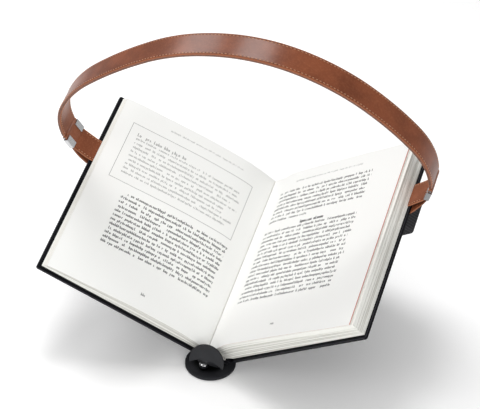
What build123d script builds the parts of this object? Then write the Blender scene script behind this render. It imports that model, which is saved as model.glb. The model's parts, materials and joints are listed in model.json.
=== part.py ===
from build123d import *
import os
from math import atan2, cos, degrees, hypot, radians, sin, sqrt, tan

# Reading lamp built around an open hardback book.
# World frame: +Z up, floor at z = 0, the reader looks along +Y, the origin is the
# centre of the round foot on the floor.
# Book frame: origin at the tail end of the spine's outer face, x across the book,
# y along the spine from tail to head, z out of the spine towards the pages.
# Cover frame: origin on the cover's hinge line, u outwards along the cover,
# y along the spine, t from the cover's outer face towards the pages.

# Place of the book on its foot
spine_x = 5.4
spine_y = -0.9
spine_z = 8.0
spine_lean = 19.5

# Book
cover_height = 235.0
cover_width = 197.0
board_thickness = 3.0
joint_groove = 7.0
joint_cloth_thickness = 0.8
spine_width = 35.0
left_angle = 31.0
right_angle = 39.0
page_square = 3.0
fore_square = 4.0
page_start = 2.0
left_pages_inner = 11.5
left_pages_outer = 10.5
right_pages_inner = 24.0
right_pages_outer = 22.0
gutter_x = -9.0
gutter_z = 10.0
fold_clearance = 17.0
headband_radius = 1.3
headband_gap = 0.2
headband_inset = 6.0
board_corner = 2.0
leaf_thickness = 0.3
leaf_gap = 0.4
left_arch_height = 10.2
right_arch_height = 3.5

# Arch of the open pages: share of the way from the gutter to the fore edge, share of the height
left_arch = [(0.042, 0.45), (0.094, 0.66), (0.147, 0.86), (0.209, 0.96), (0.304, 1.0), (0.398, 1.0),
             (0.492, 0.93), (0.576, 0.81), (0.66, 0.69), (0.743, 0.55), (0.827, 0.44), (0.906, 0.3)]
right_arch = [(0.052, 0.66), (0.115, 1.0), (0.25, 1.0), (0.345, 0.9), (0.44, 0.8), (0.518, 0.7),
              (0.607, 0.55), (0.69, 0.4), (0.775, 0.2), (0.86, 0.05)]

# Strap and its tabs
strap_width = 28.0
outer_leather = 1.5
core_thickness = 0.7
lining_leather = 1.4
core_width = 22.0
left_tab_y = 157.0
right_tab_y = 173.0
tab_leather = 1.6
tab_overlap = 27.0
tab_bend = 2.0
tab_entry = 2.0
tab_layer_gap = 0.1
pocket_clearance = 0.2
left_flap_slant = 8.0
right_flap_slant = 15.0
left_clasp_reach = 28.0
left_clasp_t = 12.4
left_clasp_angle = 36.0
right_clasp_reach = 29.8
right_clasp_t = 10.4
right_clasp_angle = 36.0
clasp_length = 13.0
clasp_wall = 0.8
clasp_lip = 7.5
clasp_clearance = 0.25
pin_offset = 8.8
pin_radius = 1.0
roll_radius = 2.6
eye_radius = 2.3
eye_width = 8.0
eye_clearance = 0.1
left_end_gap = 0.9
right_end_gap = 2.4

# Centre line of the strap in the book frame: places from its end pins, and headings
left_end_heading = 101.0
left_haunch_in = 44.6
left_haunch_up = 100.1
left_haunch_heading = 41.5
crown_shift = 1.0
crown_rise = 168.1
crown_heading = 6.0
right_haunch_in = 65.7
right_haunch_up = 112.8
right_haunch_heading = -40.0
right_end_heading = -93.0

# Crown hinge inside the strap
knuckle_radius = 1.2
knuckle_pin_radius = 0.55
knuckle_clearance = 0.12
middle_knuckle = 7.6
outer_seam = 0.35
lining_seam = 0.6

# Light bars under the crown
bar_length = 84.0
bar_seam = 2.6
channel_width = 13.0
channel_wall = 1.0
channel_depth = 4.2
led_board_width = 8.0
led_board_thickness = 0.6
led_size = 3.0
led_height = 0.8
led_count = 9
led_margin = 6.0
diffuser_thickness = 1.2

# Housing on the back of the right cover
housing_setback = 1.0
housing_width = 36.0
housing_length = 54.0
housing_drop = 36.0
housing_depth = 13.5
housing_wall = 1.6
housing_corner = 3.0
lid_depth = 2.0
lid_thickness = 1.2
cell_width = 27.0
cell_end_gap = 1.0
cell_thickness = 5.0
board_gap = 0.4
control_board_length = 22.0
control_board_thickness = 1.0
switch_length = 6.0
switch_width = 4.0
switch_height = 1.4
switch_travel = 5.0
switch_clearance = 0.2
switch_collar = 1.2
switch_base_length = 12.0
switch_base_width = 8.0
socket_width = 9.0
socket_height = 3.4
socket_depth = 7.0
screw_radius = 1.0
screw_head_radius = 1.9
screw_head_height = 1.2
screw_inset = 3.2

# Foot
foot_radius = 27.0
foot_thickness = 3.0
foot_chamfer = 0.6
foot_pad_radius = 24.0
foot_pad_thickness = 1.2
foot_pad_recess = 0.6
ball_radius = 5.5
ball_x = -2.2
ball_y = -14.0
ball_z = 8.4
ball_clearance = 0.15
stud_screw_radius = 1.5
stud_screw_head = 3.0
magnet_gap = 0.3
stud_screw_gap = 0.25

# Lip that stops the book, and the nose block behind it
lip_radius = 19.0
lip_thickness = 2.0
lip_x = 2.1
lip_y = -18.6
lip_z = 19.4
lip_lean = 15.0
lip_arch_radius = 30.0
lip_arch_top = 1.0
nose_width = 21.0
nose_tail_gap = 0.4
nose_top = 27.0
magnet_radius = 4.0
magnet_thickness = 3.0

# Rail under the spine and the folding rear leg
rail_width = 28.0
rail_thickness = 2.5
felt_thickness = 1.0
rail_setback = 21.0
bracket_setback = 30.0
bracket_length = 22.0
bracket_width = 26.0
bracket_plate = 2.0
ear_thickness = 3.0
ear_gap_width = 16.0
leg_pin_radius = 2.0
leg_pin_drop = 5.0
leg_pin_clearance = 0.08
leg_eye_wall = 2.5
leg_heel_width = 8.0
leg_stop_gap = 0.05
leg_splay = 14.0
leg_stem_width = 15.6
leg_stem_thickness = 4.0
leg_bar_length = 150.0
leg_bar_height = 10.0
leg_bar_thickness = 6.0
leg_pad_length = 18.0
leg_pad_thickness = 2.0

half_strap = (outer_leather + core_thickness + lining_leather) / 2
hinge_offset = spine_width / 2
fore_edge = cover_width - fore_square
page_top = cover_height - page_square
core_low = half_strap - outer_leather - core_thickness
core_high = half_strap - outer_leather
housing_y = right_tab_y - housing_drop
housing_u = cover_width - housing_setback
rail_length = cover_height - rail_setback
bracket_y = cover_height - bracket_setback
left_clasp_u = cover_width + left_clasp_reach
right_clasp_u = cover_width + right_clasp_reach

os.makedirs("parts", exist_ok=True)


def save(name, shape):
    """Write one sub-part."""
    shape.label = name
    export_step(shape, f"parts/{name}.step")


def in_book(shape):
    """Move a shape from the book frame into the world frame."""
    return Location((spine_x, spine_y, spine_z), (spine_lean, 0, 0)) * shape


def cover_to_book(shape, side, angle):
    """Move a shape from a cover frame into the book frame."""
    placed = Location((hinge_offset, 0, 0), (0, -angle, 0)) * shape
    return mirror(placed, Plane.YZ) if side == "left" else placed


def in_cover(shape, side):
    """Move a shape from a cover frame into the world frame."""
    angle = left_angle if side == "left" else right_angle
    return in_book(cover_to_book(shape, side, angle))


def cover_point(side, u, t):
    """A point (u, t) of a cover as (x, z) of the book frame."""
    angle = radians(left_angle if side == "left" else right_angle)
    x = hinge_offset + u * cos(angle) - t * sin(angle)
    z = u * sin(angle) + t * cos(angle)
    return (-x, z) if side == "left" else (x, z)


def slab(face, y_low, y_high):
    """Extrude a face drawn in x and z from y_low to y_high."""
    return Pos(0, y_low, 0) * extrude(Plane.XZ * face, amount=-(y_high - y_low))


def prism(points, y_low, y_high):
    """A straight prism along y with a polygon section in x and z."""
    return slab(make_face(Polyline(*points, close=True)), y_low, y_high)


def block(low, high):
    """A box between two corners."""
    size = [b - a for a, b in zip(low, high)]
    middle = [(a + b) / 2 for a, b in zip(low, high)]
    return Pos(*middle) * Box(*size)


def rod(x, z, radius, y_low, y_high):
    """A round rod along y."""
    return slab(Pos(x, z) * Circle(radius), y_low, y_high)


def strip(points, thickness):
    """A polygon that follows a line of points with one thickness, mitred at each bend."""
    left, right = [], []
    for i, (x, z) in enumerate(points):
        before = points[max(i - 1, 0)]
        after = points[min(i + 1, len(points) - 1)]
        if i == 0:
            before = (2 * x - after[0], 2 * z - after[1])
        if i == len(points) - 1:
            after = (2 * x - before[0], 2 * z - before[1])
        a = atan2(z - before[1], x - before[0])
        b = atan2(after[1] - z, after[0] - x)
        middle = (a + b) / 2
        reach = thickness / 2 / cos((b - a) / 2)
        left.append((x - reach * sin(middle), z + reach * cos(middle)))
        right.append((x + reach * sin(middle), z - reach * cos(middle)))
    return left + right[::-1]


# The strap's centre line is a chain of arcs that turn the same way

def unit(heading):
    return (cos(radians(heading)), sin(radians(heading)))


def arc_from(start, tangent, end):
    """The clockwise arc from start along tangent to end: centre, radius and end angles."""
    normal = (tangent[1], -tangent[0])
    chord = (end[0] - start[0], end[1] - start[1])
    radius = (chord[0] ** 2 + chord[1] ** 2) / (2 * (normal[0] * chord[0] + normal[1] * chord[1]))
    centre = (start[0] + radius * normal[0], start[1] + radius * normal[1])
    first = atan2(start[1] - centre[1], start[0] - centre[0])
    last = atan2(end[1] - centre[1], end[0] - centre[0])
    if last > first:
        last -= radians(360)
    return centre, radius, first, last


def two_arcs(start, heading, end, end_heading):
    """Two tangent arcs between two places with given headings."""
    t0, t1 = unit(heading), unit(end_heading)
    v = (end[0] - start[0], end[1] - start[1])
    along = v[0] * (t0[0] + t1[0]) + v[1] * (t0[1] + t1[1])
    spread = 2 * (1 - t0[0] * t1[0] - t0[1] * t1[1])
    reach = (-along + sqrt(along ** 2 + spread * (v[0] ** 2 + v[1] ** 2))) / spread
    middle = tuple((start[i] + end[i] + reach * (t0[i] - t1[i])) / 2 for i in (0, 1))
    first = arc_from(start, t0, middle)
    angle = first[3]
    return [first, arc_from(middle, (sin(angle), -cos(angle)), end)]


def clasp_point(side, along, above=0.0):
    """A point of the clasp's own frame as (u, t) of the cover frame."""
    u, t, angle = ((left_clasp_u, left_clasp_t, left_clasp_angle) if side == "left"
                   else (right_clasp_u, right_clasp_t, right_clasp_angle))
    c, s = cos(radians(angle)), sin(radians(angle))
    return (u + along * c - above * s, t + along * s + above * c)


pin_place = {side: cover_point(side, *clasp_point(side, pin_offset)) for side in ("left", "right")}
left_haunch = (pin_place["left"][0] + left_haunch_in, pin_place["left"][1] + left_haunch_up)
right_haunch = (pin_place["right"][0] - right_haunch_in, pin_place["right"][1] + right_haunch_up)
crown = ((pin_place["left"][0] + pin_place["right"][0]) / 2 + crown_shift,
         (pin_place["left"][1] + pin_place["right"][1]) / 2 + crown_rise)
left_arcs = (two_arcs(pin_place["left"], left_end_heading, left_haunch, left_haunch_heading)
             + two_arcs(left_haunch, left_haunch_heading, crown, crown_heading))
right_arcs = (two_arcs(crown, crown_heading, right_haunch, right_haunch_heading)
              + two_arcs(right_haunch, right_haunch_heading, pin_place["right"], right_end_heading))


def on_arc(arc, share, offset):
    centre, radius, first, last = arc
    angle = first + (last - first) * share
    return (centre[0] + (radius + offset) * cos(angle), centre[1] + (radius + offset) * sin(angle))


def layer(arcs, low, high, y_low, y_high):
    """One layer of the strap between two offsets from the centre line."""
    edges = []
    for offset in (high, low):
        for arc in arcs:
            edges.append(ThreePointArc(*(on_arc(arc, share, offset) for share in (0, 0.5, 1))))
    for arc, share in ((arcs[0], 0), (arcs[-1], 1)):
        edges.append(Line(on_arc(arc, share, low), on_arc(arc, share, high)))
    return slab(make_face(edges), y_low, y_high)


# Between its tabs the strap runs slightly askew to the spine
span = pin_place["right"][0] - pin_place["left"][0]
skew = degrees(atan2(right_tab_y - left_tab_y, span))
middle_x = (pin_place["right"][0] + pin_place["left"][0]) / 2
middle_y = (right_tab_y + left_tab_y) / 2
wide = (middle_y - strap_width * 2, middle_y + strap_width * 2)
reach_all = 3 * cover_width


def trimmed(shape, width):
    """Keep the part of a wide layer that lies within the strap's skewed width."""
    keep = Location((middle_x, middle_y, crown[1] / 2), (0, 0, skew)) * Box(reach_all, width, reach_all)
    return shape & keep


def strap_y(x):
    return middle_y + (x - middle_x) * tan(radians(skew))


def half(side):
    return left_arcs if side == "left" else right_arcs


def crown_cut(side, seam):
    """A wedge-free cutter that keeps a half's end one seam short of the crown hinge."""
    depth = reach_all
    shift = -seam if side == "left" else seam
    centre_shift = shift + (depth / 2 if side == "left" else -depth / 2)
    box = Box(depth, reach_all, depth)
    return Location((crown[0], 0, crown[1]), (0, -crown_heading, 0)) * Pos(centre_shift, 0, 0) * box


def end_cut(side):
    x, z = pin_place[side]
    gap = left_end_gap if side == "left" else right_end_gap
    return rod(x, z, roll_radius + gap, *wide)


def knuckle_cut():
    return rod(*crown, knuckle_radius + knuckle_clearance, *wide)


def strap_shell(side, low, high, seam):
    """A leather layer of one half, cut clear of both of its hinges."""
    body = trimmed(layer(half(side), low, high, *wide), strap_width)
    kept = body - end_cut(side) - knuckle_cut()
    return kept & crown_cut(other(side), seam)


def other(side):
    return "right" if side == "left" else "left"


def knuckle_zone(side):
    """Where along the hinge a half has its knuckles: the right half has the middle one."""
    y = strap_y(crown[0])
    inner, outer = middle_knuckle / 2, core_width / 2 - 1
    if side == "right":
        return [(y - inner, y + inner)]
    return [(y - outer, y - inner - knuckle_clearance), (y + inner + knuckle_clearance, y + outer)]


def strap_core(side):
    """Spring steel core of one half, with its knuckles at the crown and its eye at the left end."""
    plate = trimmed(layer(half(side), core_low, core_high, *wide), core_width)
    plate = (plate - end_cut(side)) & crown_cut(other(side), 0.0)
    for low, high in knuckle_zone(other(side)):
        clear = knuckle_clearance
        plate -= rod(*crown, knuckle_radius + clear, low - clear, high + clear)
    plate -= rod(*crown, knuckle_radius + knuckle_clearance, wide[0], strap_y(crown[0]) - core_width / 2 + 1)
    plate -= rod(*crown, knuckle_radius + knuckle_clearance, strap_y(crown[0]) + core_width / 2 - 1, wide[1])
    for low, high in knuckle_zone(side):
        plate += rod(*crown, knuckle_radius, low, high)
    plate -= rod(*crown, knuckle_pin_radius + knuckle_clearance / 2, *wide)
    if side == "left":
        x, z = pin_place["left"]
        low, high = left_tab_y - eye_width / 2, left_tab_y + eye_width / 2
        tongue = layer(left_arcs, core_low, core_high, low, high) & rod(x, z, roll_radius + 3, low, high)
        plate = plate + tongue + rod(x, z, eye_radius, low, high)
        plate -= rod(x, z, pin_radius + eye_clearance, *wide)
    return plate


def strap_half(side):
    outer = strap_shell(side, core_high, half_strap, outer_seam)
    lining = strap_shell(side, -half_strap, core_high, lining_seam)
    core = strap_core(side)
    plate_room = trimmed(layer(half(side), core_low, core_high, *wide), core_width)
    lining = lining - plate_room
    save(f"strap_outer_{side}", in_book(outer))
    save(f"strap_lining_{side}", in_book(lining))
    save(f"strap_core_{side}", in_book(core))


def bar_window(side, shorten=0.0):
    """The stretch of a half that its light bar covers."""
    sign = -1 if side == "left" else 1
    near = crown[0] + sign * (bar_seam + shorten)
    far = crown[0] + sign * (bar_length + bar_seam - shorten)
    return block((min(near, far), -reach_all, 0), (max(near, far), reach_all, reach_all))


def light_bar(side):
    """Channel, light strip and diffuser under one half of the crown."""
    arcs = half(side)
    top = -half_strap
    floor = top - channel_wall
    rim = top - channel_depth
    inner = channel_width - 2 * channel_wall
    diffuser_top = rim + diffuser_thickness
    outside = trimmed(layer(arcs, rim, top, *wide), channel_width)
    inside = trimmed(layer(arcs, rim - 1, floor, *wide), inner)
    save(f"light_channel_{side}", in_book((outside - inside) & bar_window(side)))
    board_low = floor - led_board_thickness
    board = trimmed(layer(arcs, board_low, floor, *wide), led_board_width)
    strip_solids = [board & bar_window(side, 1.0)]
    pitch = (bar_length - 2 * led_margin) / (led_count - 1)
    sign = -1 if side == "left" else 1
    wide_layer = trimmed(layer(arcs, board_low - led_height, board_low, *wide), led_size)
    for i in range(led_count):
        x = crown[0] + sign * (bar_seam + led_margin + i * pitch)
        chip = block((x - led_size / 2, -reach_all, 0), (x + led_size / 2, reach_all, reach_all))
        strip_solids.append(wide_layer & chip)
    save(f"led_strip_{side}", in_book(Compound(children=[s.solid() for s in strip_solids])))
    cover = trimmed(layer(arcs, rim, diffuser_top, *wide), inner - 2 * clasp_clearance)
    save(f"diffuser_{side}", in_book(cover & bar_window(side, 0.3)))


def crown_pin():
    y = strap_y(crown[0])
    reach = core_width / 2 - 1
    save("crown_pin", in_book(rod(*crown, knuckle_pin_radius, y - reach, y + reach)))


def tab_y(side):
    return left_tab_y if side == "left" else right_tab_y


def flap_turn(side):
    """Where along a cover the back layer of its tab starts to slant towards the tail."""
    return clasp_point(side, -clasp_length / 2 - tab_entry)[0]


def flap_slant(side):
    return left_flap_slant if side == "left" else right_flap_slant


def flap_room(side):
    """The width of a back layer: straight in the clasp, slanting behind the cover."""
    y, turn, slant = tab_y(side), flap_turn(side), flap_slant(side)
    straight = block((turn, y - strap_width / 2, -reach_all),
                     (turn + reach_all, y + strap_width / 2, reach_all))
    turned = Pos(strap_width - reach_all / 2, 0, 0)
    turned = turned * Box(reach_all, strap_width * cos(radians(slant)), 2 * reach_all)
    turned = Location((turn, y, 0), (0, 0, slant)) * turned
    turned &= block((-reach_all, -reach_all, -reach_all), (turn, reach_all, reach_all))
    return straight + turned


def clasp_side(side):
    """Tab layers, roll, pin and metal clasp of one side."""
    y = tab_y(side)
    y_low, y_high = y - strap_width / 2, y + strap_width / 2
    half_leather = tab_leather / 2
    start = cover_width - tab_overlap
    bend = cover_width + tab_bend
    entry = -clasp_length / 2 - tab_entry
    stop = pin_offset - roll_radius - 0.1
    above = half_leather + tab_layer_gap
    front = [(start, board_thickness + half_leather), (bend, board_thickness + half_leather),
             clasp_point(side, entry, above), clasp_point(side, stop, above)]
    back = [(start, -half_leather), (bend, -half_leather),
            clasp_point(side, entry, -above), clasp_point(side, stop, -above)]
    save(f"{side}_tab_front", in_cover(prism(strip(front, tab_leather), y_low, y_high), side))
    flap = prism(strip(back, tab_leather), y_low - strap_width, y_high + strap_width) & flap_room(side)
    save(f"{side}_tab_back", in_cover(flap, side))

    u, t = clasp_point(side, pin_offset)
    roll = rod(u, t, roll_radius, y_low, y_high) - rod(u, t, pin_radius, y_low, y_high)
    if side == "left":
        room = eye_width / 2 + 0.3
        roll -= rod(u, t, roll_radius + 1, y - room, y + room)
    save(f"{side}_roll", in_cover(Compound(children=list(roll.solids())), side))
    save(f"{side}_clasp_pin", in_cover(rod(u, t, pin_radius, y_low - 0.5, y_high + 0.5), side))

    room_high = tab_leather + tab_layer_gap + clasp_clearance
    room_wide = strap_width / 2 + clasp_clearance
    out_high, out_wide = room_high + clasp_wall, room_wide + clasp_wall
    reach = clasp_length / 2
    shell = block((-reach, -out_wide, -out_high), (reach, out_wide, out_high))
    shell = fillet(shell.edges().filter_by(Axis.X), clasp_wall * 0.6)
    shell -= block((-reach, -room_wide, -room_high), (reach, room_wide, room_high))
    shell -= block((-reach, clasp_lip - out_wide, 0), (reach, out_wide - clasp_lip, out_high))
    cu, ct = clasp_point(side, 0.0)
    angle = left_clasp_angle if side == "left" else right_clasp_angle
    save(f"{side}_clasp", in_cover(Location((cu, y, ct), (0, -angle, 0)) * shell, side))


def tab_pocket(side):
    """Room between board and pages for the front layer of a tab."""
    room = strap_width / 2 + pocket_clearance
    low = (cover_width - tab_overlap - pocket_clearance, tab_y(side) - room, board_thickness)
    high = (cover_width, tab_y(side) + room, board_thickness + tab_leather + pocket_clearance)
    return block(low, high)


def board(side):
    body = block((joint_groove, 0, 0), (cover_width, cover_height, board_thickness))
    corners = body.edges().filter_by(Axis.Z).sort_by(Axis.X)[-2:]
    save(f"{side}_board", in_cover(fillet(corners, board_corner), side))


def page_line(side, lift=0.0):
    """The arched top of the pages over a cover, from the hinge to the fore edge."""
    inner = left_pages_inner if side == "left" else right_pages_inner
    outer = left_pages_outer if side == "left" else right_pages_outer
    height = left_arch_height if side == "left" else right_arch_height
    arch = left_arch if side == "left" else right_arch
    points = []
    for share, rise in [(0.0, 0.0)] + arch + [(1.0, 0.0)]:
        points.append((page_start + share * (fore_edge - page_start),
                       inner + share * (outer - inner) + rise * height + lift))
    return points


def pages(side):
    section = [(page_start, board_thickness), (fore_edge, board_thickness)] + page_line(side)[::-1]
    body = prism(section, page_square, page_top) - tab_pocket(side)
    save(f"{side}_pages", in_cover(body, side))


def joint_cloth(side):
    gap = 0.1
    angle = radians(left_angle if side == "left" else right_angle)
    start_low = gap / cos(angle)
    start_high = (gap + joint_cloth_thickness * sin(angle)) / cos(angle)
    section = [(start_low, 0), (joint_groove - gap, 0), (joint_groove - gap, joint_cloth_thickness),
               (start_high, joint_cloth_thickness)]
    save(f"{side}_joint_cloth", in_cover(prism(section, 0, cover_height), side))


def fold_line(side, height):
    """Where the plane that a folded page block may reach meets a height over its cover."""
    inner = left_pages_inner if side == "left" else right_pages_inner
    top_angle = degrees(atan2(inner, page_start)) + fold_clearance
    reach = height / sin(radians(top_angle))
    return cover_point(side, reach * cos(radians(top_angle)), height)


def spine_pages():
    """The bound back of the pages and the two folds of loose pages beside it."""
    low = board_thickness
    left_top = fold_line("left", left_pages_inner)
    right_top = fold_line("right", right_pages_inner)
    left_low = (left_top[0] - (left_top[1] - low) * 0.72, low)
    right_low = (right_top[0] + (right_top[1] - low) * 1.2, low)
    body = prism([left_low, right_low, right_top, (gutter_x, gutter_z), left_top], page_square, page_top)
    save("bound_pages", in_book(body))
    gap = 0.2
    left_corner = cover_point("left", page_start, board_thickness)
    left_edge = cover_point("left", page_start - gap, left_pages_inner)
    right_corner = cover_point("right", page_start, board_thickness)
    right_edge = cover_point("right", page_start - gap, right_pages_inner)
    left_fold = [(left_low[0] - gap, low + gap), (left_top[0] - gap, left_top[1]), left_edge,
                 (left_corner[0] + gap, left_corner[1])]
    right_fold = [(right_low[0] + gap, low + gap), (right_top[0] + gap, right_top[1]), right_edge,
                  (right_corner[0] - gap, right_corner[1])]
    save("left_fold_pages", in_book(prism(left_fold, page_square, page_top)))
    save("right_fold_pages", in_book(prism(right_fold, page_square, page_top)))


def spine_board():
    body = block((-hinge_offset, 0, 0), (hinge_offset, cover_height, board_thickness))
    save("spine_board", in_book(body))


def headbands():
    """A rolled band of cloth at each end of the bound pages."""
    solids = []
    z = board_thickness + headband_radius
    for y in (page_square - headband_radius - headband_gap, page_top + headband_radius + headband_gap):
        reach = hinge_offset - headband_inset
        band = Location((0, y, z), (0, 90, 0)) * Cylinder(headband_radius, 2 * reach)
        solids.append(in_book(band).solid())
    save("headbands", Compound(children=solids))


def turning_leaf():
    """One loose leaf over the right pages, arched as they are, hung from the gutter."""
    angle = radians(right_angle)
    rel = (gutter_x - hinge_offset, gutter_z)
    inner_u = rel[0] * cos(angle) + rel[1] * sin(angle) + 1.5
    line = page_line("right", leaf_gap + leaf_thickness / 2)
    line = [(inner_u, line[0][1])] + line
    save("turning_leaf", in_cover(prism(strip(line, leaf_thickness), page_square, page_top), "right"))


# Housing with the battery, in the frame of the right cover

def housing():
    u_low, u_high = housing_u - housing_width, housing_u
    y_low, y_high = housing_y, housing_y + housing_length
    wall = housing_wall
    shell = block((u_low, y_low, -housing_depth), (u_high, y_high, 0))
    shell = fillet(shell.edges().filter_by(Axis.Z), housing_corner)
    shell = chamfer(shell.faces().sort_by(Axis.Z)[0].edges(), foot_chamfer)
    cavity = block((u_low + wall, y_low + wall, wall - housing_depth), (u_high - wall, y_high - wall, 0))
    shell -= fillet(cavity.edges().filter_by(Axis.Z), housing_corner - wall)
    flap = strap_width / 2 + pocket_clearance
    flap_low = -(tab_leather + pocket_clearance)
    slope = tan(radians(right_flap_slant))
    inner_shift = (flap_turn("right") - (u_high - wall)) * slope
    outer_shift = (flap_turn("right") - u_high) * slope
    shell -= block((u_high - wall - 1, right_tab_y - flap - inner_shift, flap_low),
                   (u_high + 1, right_tab_y + flap - outer_shift, 0))

    lid_low = -(lid_depth + lid_thickness)
    fit = pocket_clearance / 2
    lid = block((u_low + wall + fit, y_low + wall + fit, lid_low),
                (u_high - wall - fit, y_high - wall - fit, -lid_depth))
    lid = fillet(lid.edges().filter_by(Axis.Z), housing_corner - wall - fit)

    u_mid = (u_low + u_high) / 2
    switch_y = y_low + wall + control_board_length / 2
    slot_width = switch_width + 2 * switch_clearance
    slot_length = switch_length + switch_travel + 2 * switch_clearance
    slot_low = switch_y - slot_length / 2
    shell -= block((u_mid - slot_width / 2, slot_low, -housing_depth - 1),
                   (u_mid + slot_width / 2, slot_low + slot_length, wall - housing_depth + 1))
    knob_low = slot_low + switch_clearance
    knob = block((u_mid - switch_width / 2, knob_low, -housing_depth - switch_height),
                 (u_mid + switch_width / 2, knob_low + switch_length, wall - housing_depth + board_gap))
    collar = switch_collar
    foot = block((u_mid - switch_width / 2 - collar, knob_low - collar, wall - housing_depth + board_gap / 2),
                 (u_mid + switch_width / 2 + collar, knob_low + switch_length + collar,
                  wall - housing_depth + board_gap + collar))
    groove_count = 3
    for i in range(groove_count):
        y = knob_low + switch_length * (i + 1) / (groove_count + 1)
        knob -= block((u_low, y - 0.3, -housing_depth - switch_height - 1),
                      (u_high, y + 0.3, -housing_depth - switch_height + 0.5))

    board_high = lid_low - board_gap
    board_low = board_high - control_board_thickness
    board_y = y_low + wall + board_gap
    pcb = block((u_low + wall + 1, board_y, board_low),
                (u_high - wall - 1, board_y + control_board_length, board_high))
    base_low = socket_depth + y_low + board_gap
    pcb += block((u_mid - switch_base_width / 2, base_low,
                  wall - housing_depth + board_gap + collar + switch_clearance),
                 (u_mid + switch_base_width / 2, base_low + switch_base_length, board_low))
    cell_low_y = board_y + control_board_length + board_gap
    cell_top = lid_low - board_gap
    cell = block((u_mid - cell_width / 2, cell_low_y, cell_top - cell_thickness),
                 (u_mid + cell_width / 2, y_high - wall - cell_end_gap, cell_top))
    cell = fillet(cell.edges().filter_by(Axis.Y), cell_thickness / 3)

    socket_t = board_low - socket_height / 2
    socket = block((u_mid - socket_width / 2, y_low - 0.0, socket_t - socket_height / 2),
                   (u_mid + socket_width / 2, y_low + socket_depth, socket_t + socket_height / 2))
    socket = fillet(socket.edges().filter_by(Axis.Y), socket_height / 2 - 0.1)
    shell -= block(
        (u_mid - socket_width / 2 - 0.1, y_low - 1, socket_t - socket_height / 2 - 0.1),
        (u_mid + socket_width / 2 + 0.1, y_low + wall + 0.1, socket_t + socket_height / 2 + 0.1))
    tongue_t = 0.35
    hollow = block((u_mid - socket_width / 2 + 0.5, y_low - 1, socket_t - socket_height / 2 + 0.5),
                   (u_mid + socket_width / 2 - 0.5, y_low + socket_depth - 1.5,
                    socket_t + socket_height / 2 - 0.5))
    tongue = block((u_mid - socket_width / 3, y_low + 0.6, socket_t - tongue_t),
                   (u_mid + socket_width / 3, y_low + socket_depth - 1.5, socket_t + tongue_t))
    socket = socket - hollow + tongue

    screws = []
    inset = wall + screw_inset
    for y in (y_low + inset, y_high - inset):
        for u in (u_low + inset, u_high - inset):
            head = Pos(u, y, -lid_depth - lid_thickness / 2) * Cylinder(screw_head_radius, lid_thickness)
            lid -= head
            screws.append(in_cover(head, "right").solid())
    save("housing_shell", in_cover(shell, "right"))
    save("housing_lid", in_cover(lid, "right"))
    save("switch_slider", in_cover(knob + foot, "right"))
    save("control_board", in_cover(pcb, "right"))
    save("battery_cell", in_cover(cell, "right"))
    save("charge_socket", in_cover(socket, "right"))
    save("lid_screws", Compound(children=screws))


# Foot, ball, lip and nose, in the world frame

def foot():
    low = foot_pad_thickness - foot_pad_recess
    high = low + foot_thickness
    disc = Pos(0, 0, (low + high) / 2) * Cylinder(foot_radius, foot_thickness)
    disc = chamfer(disc.edges().group_by(Axis.Z)[-1], foot_chamfer)
    pocket_radius = foot_pad_radius + pocket_clearance / 2
    disc -= Pos(0, 0, foot_pad_thickness / 2) * Cylinder(pocket_radius, foot_pad_thickness)
    disc -= Pos(ball_x, ball_y, high / 2) * Cylinder(stud_screw_radius + 0.1, 2 * high)
    head_high = foot_pad_thickness + stud_screw_gap + screw_head_height
    disc -= Pos(ball_x, ball_y, head_high / 2) * Cylinder(stud_screw_head + 0.1, head_high)
    save("foot_disc", disc)

    pad = Pos(0, 0, foot_pad_thickness / 2) * Cylinder(foot_pad_radius, foot_pad_thickness)
    access_radius = stud_screw_head + stud_screw_gap
    pad -= Pos(ball_x, ball_y, foot_pad_thickness / 2) * Cylinder(access_radius, foot_pad_thickness)
    save("foot_pad", pad)

    ball = Pos(ball_x, ball_y, ball_z) * Sphere(ball_radius)
    ball &= block((ball_x - foot_radius, ball_y - foot_radius, high),
                  (ball_x + foot_radius, ball_y + foot_radius, ball_z + foot_radius))
    hole_depth = ball_radius * 0.8
    ball -= Pos(ball_x, ball_y, high + hole_depth / 2) * Cylinder(stud_screw_radius, hole_depth)
    save("ball_stud", ball)

    shank = high + hole_depth - 1 - head_high
    screw = Pos(ball_x, ball_y, head_high + shank / 2) * Cylinder(stud_screw_radius, shank)
    head_z = head_high - screw_head_height / 2
    screw += Pos(ball_x, ball_y, head_z) * Cylinder(stud_screw_head, screw_head_height)
    save("stud_screw", screw)


def lip_frame():
    lean = radians(lip_lean)
    return Plane(origin=(lip_x, lip_y, lip_z), x_dir=(1, 0, 0), z_dir=(0, -cos(lean), sin(lean)))


def lip():
    """The upright disc that stops the tail of the book, arched over the ball."""
    plate = Circle(lip_radius) - Pos(0, lip_arch_top - lip_arch_radius) * Circle(lip_arch_radius)
    body = extrude(lip_frame() * plate, amount=-lip_thickness)
    front = body.faces().sort_by(Axis((0, 0, 0), tuple(lip_frame().z_dir)))[-1]
    save("lip_disc", fillet(front.edges(), lip_thickness / 3))


def tail_y(z, gap):
    """World y of a plane one gap in front of the tail of the book, at a height."""
    return spine_y - gap / cos(radians(spine_lean)) - (z - spine_z) * tan(radians(spine_lean))


def lip_back_y(z):
    return lip_y + (z - lip_z) * tan(radians(lip_lean)) + lip_thickness / cos(radians(lip_lean))


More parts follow.
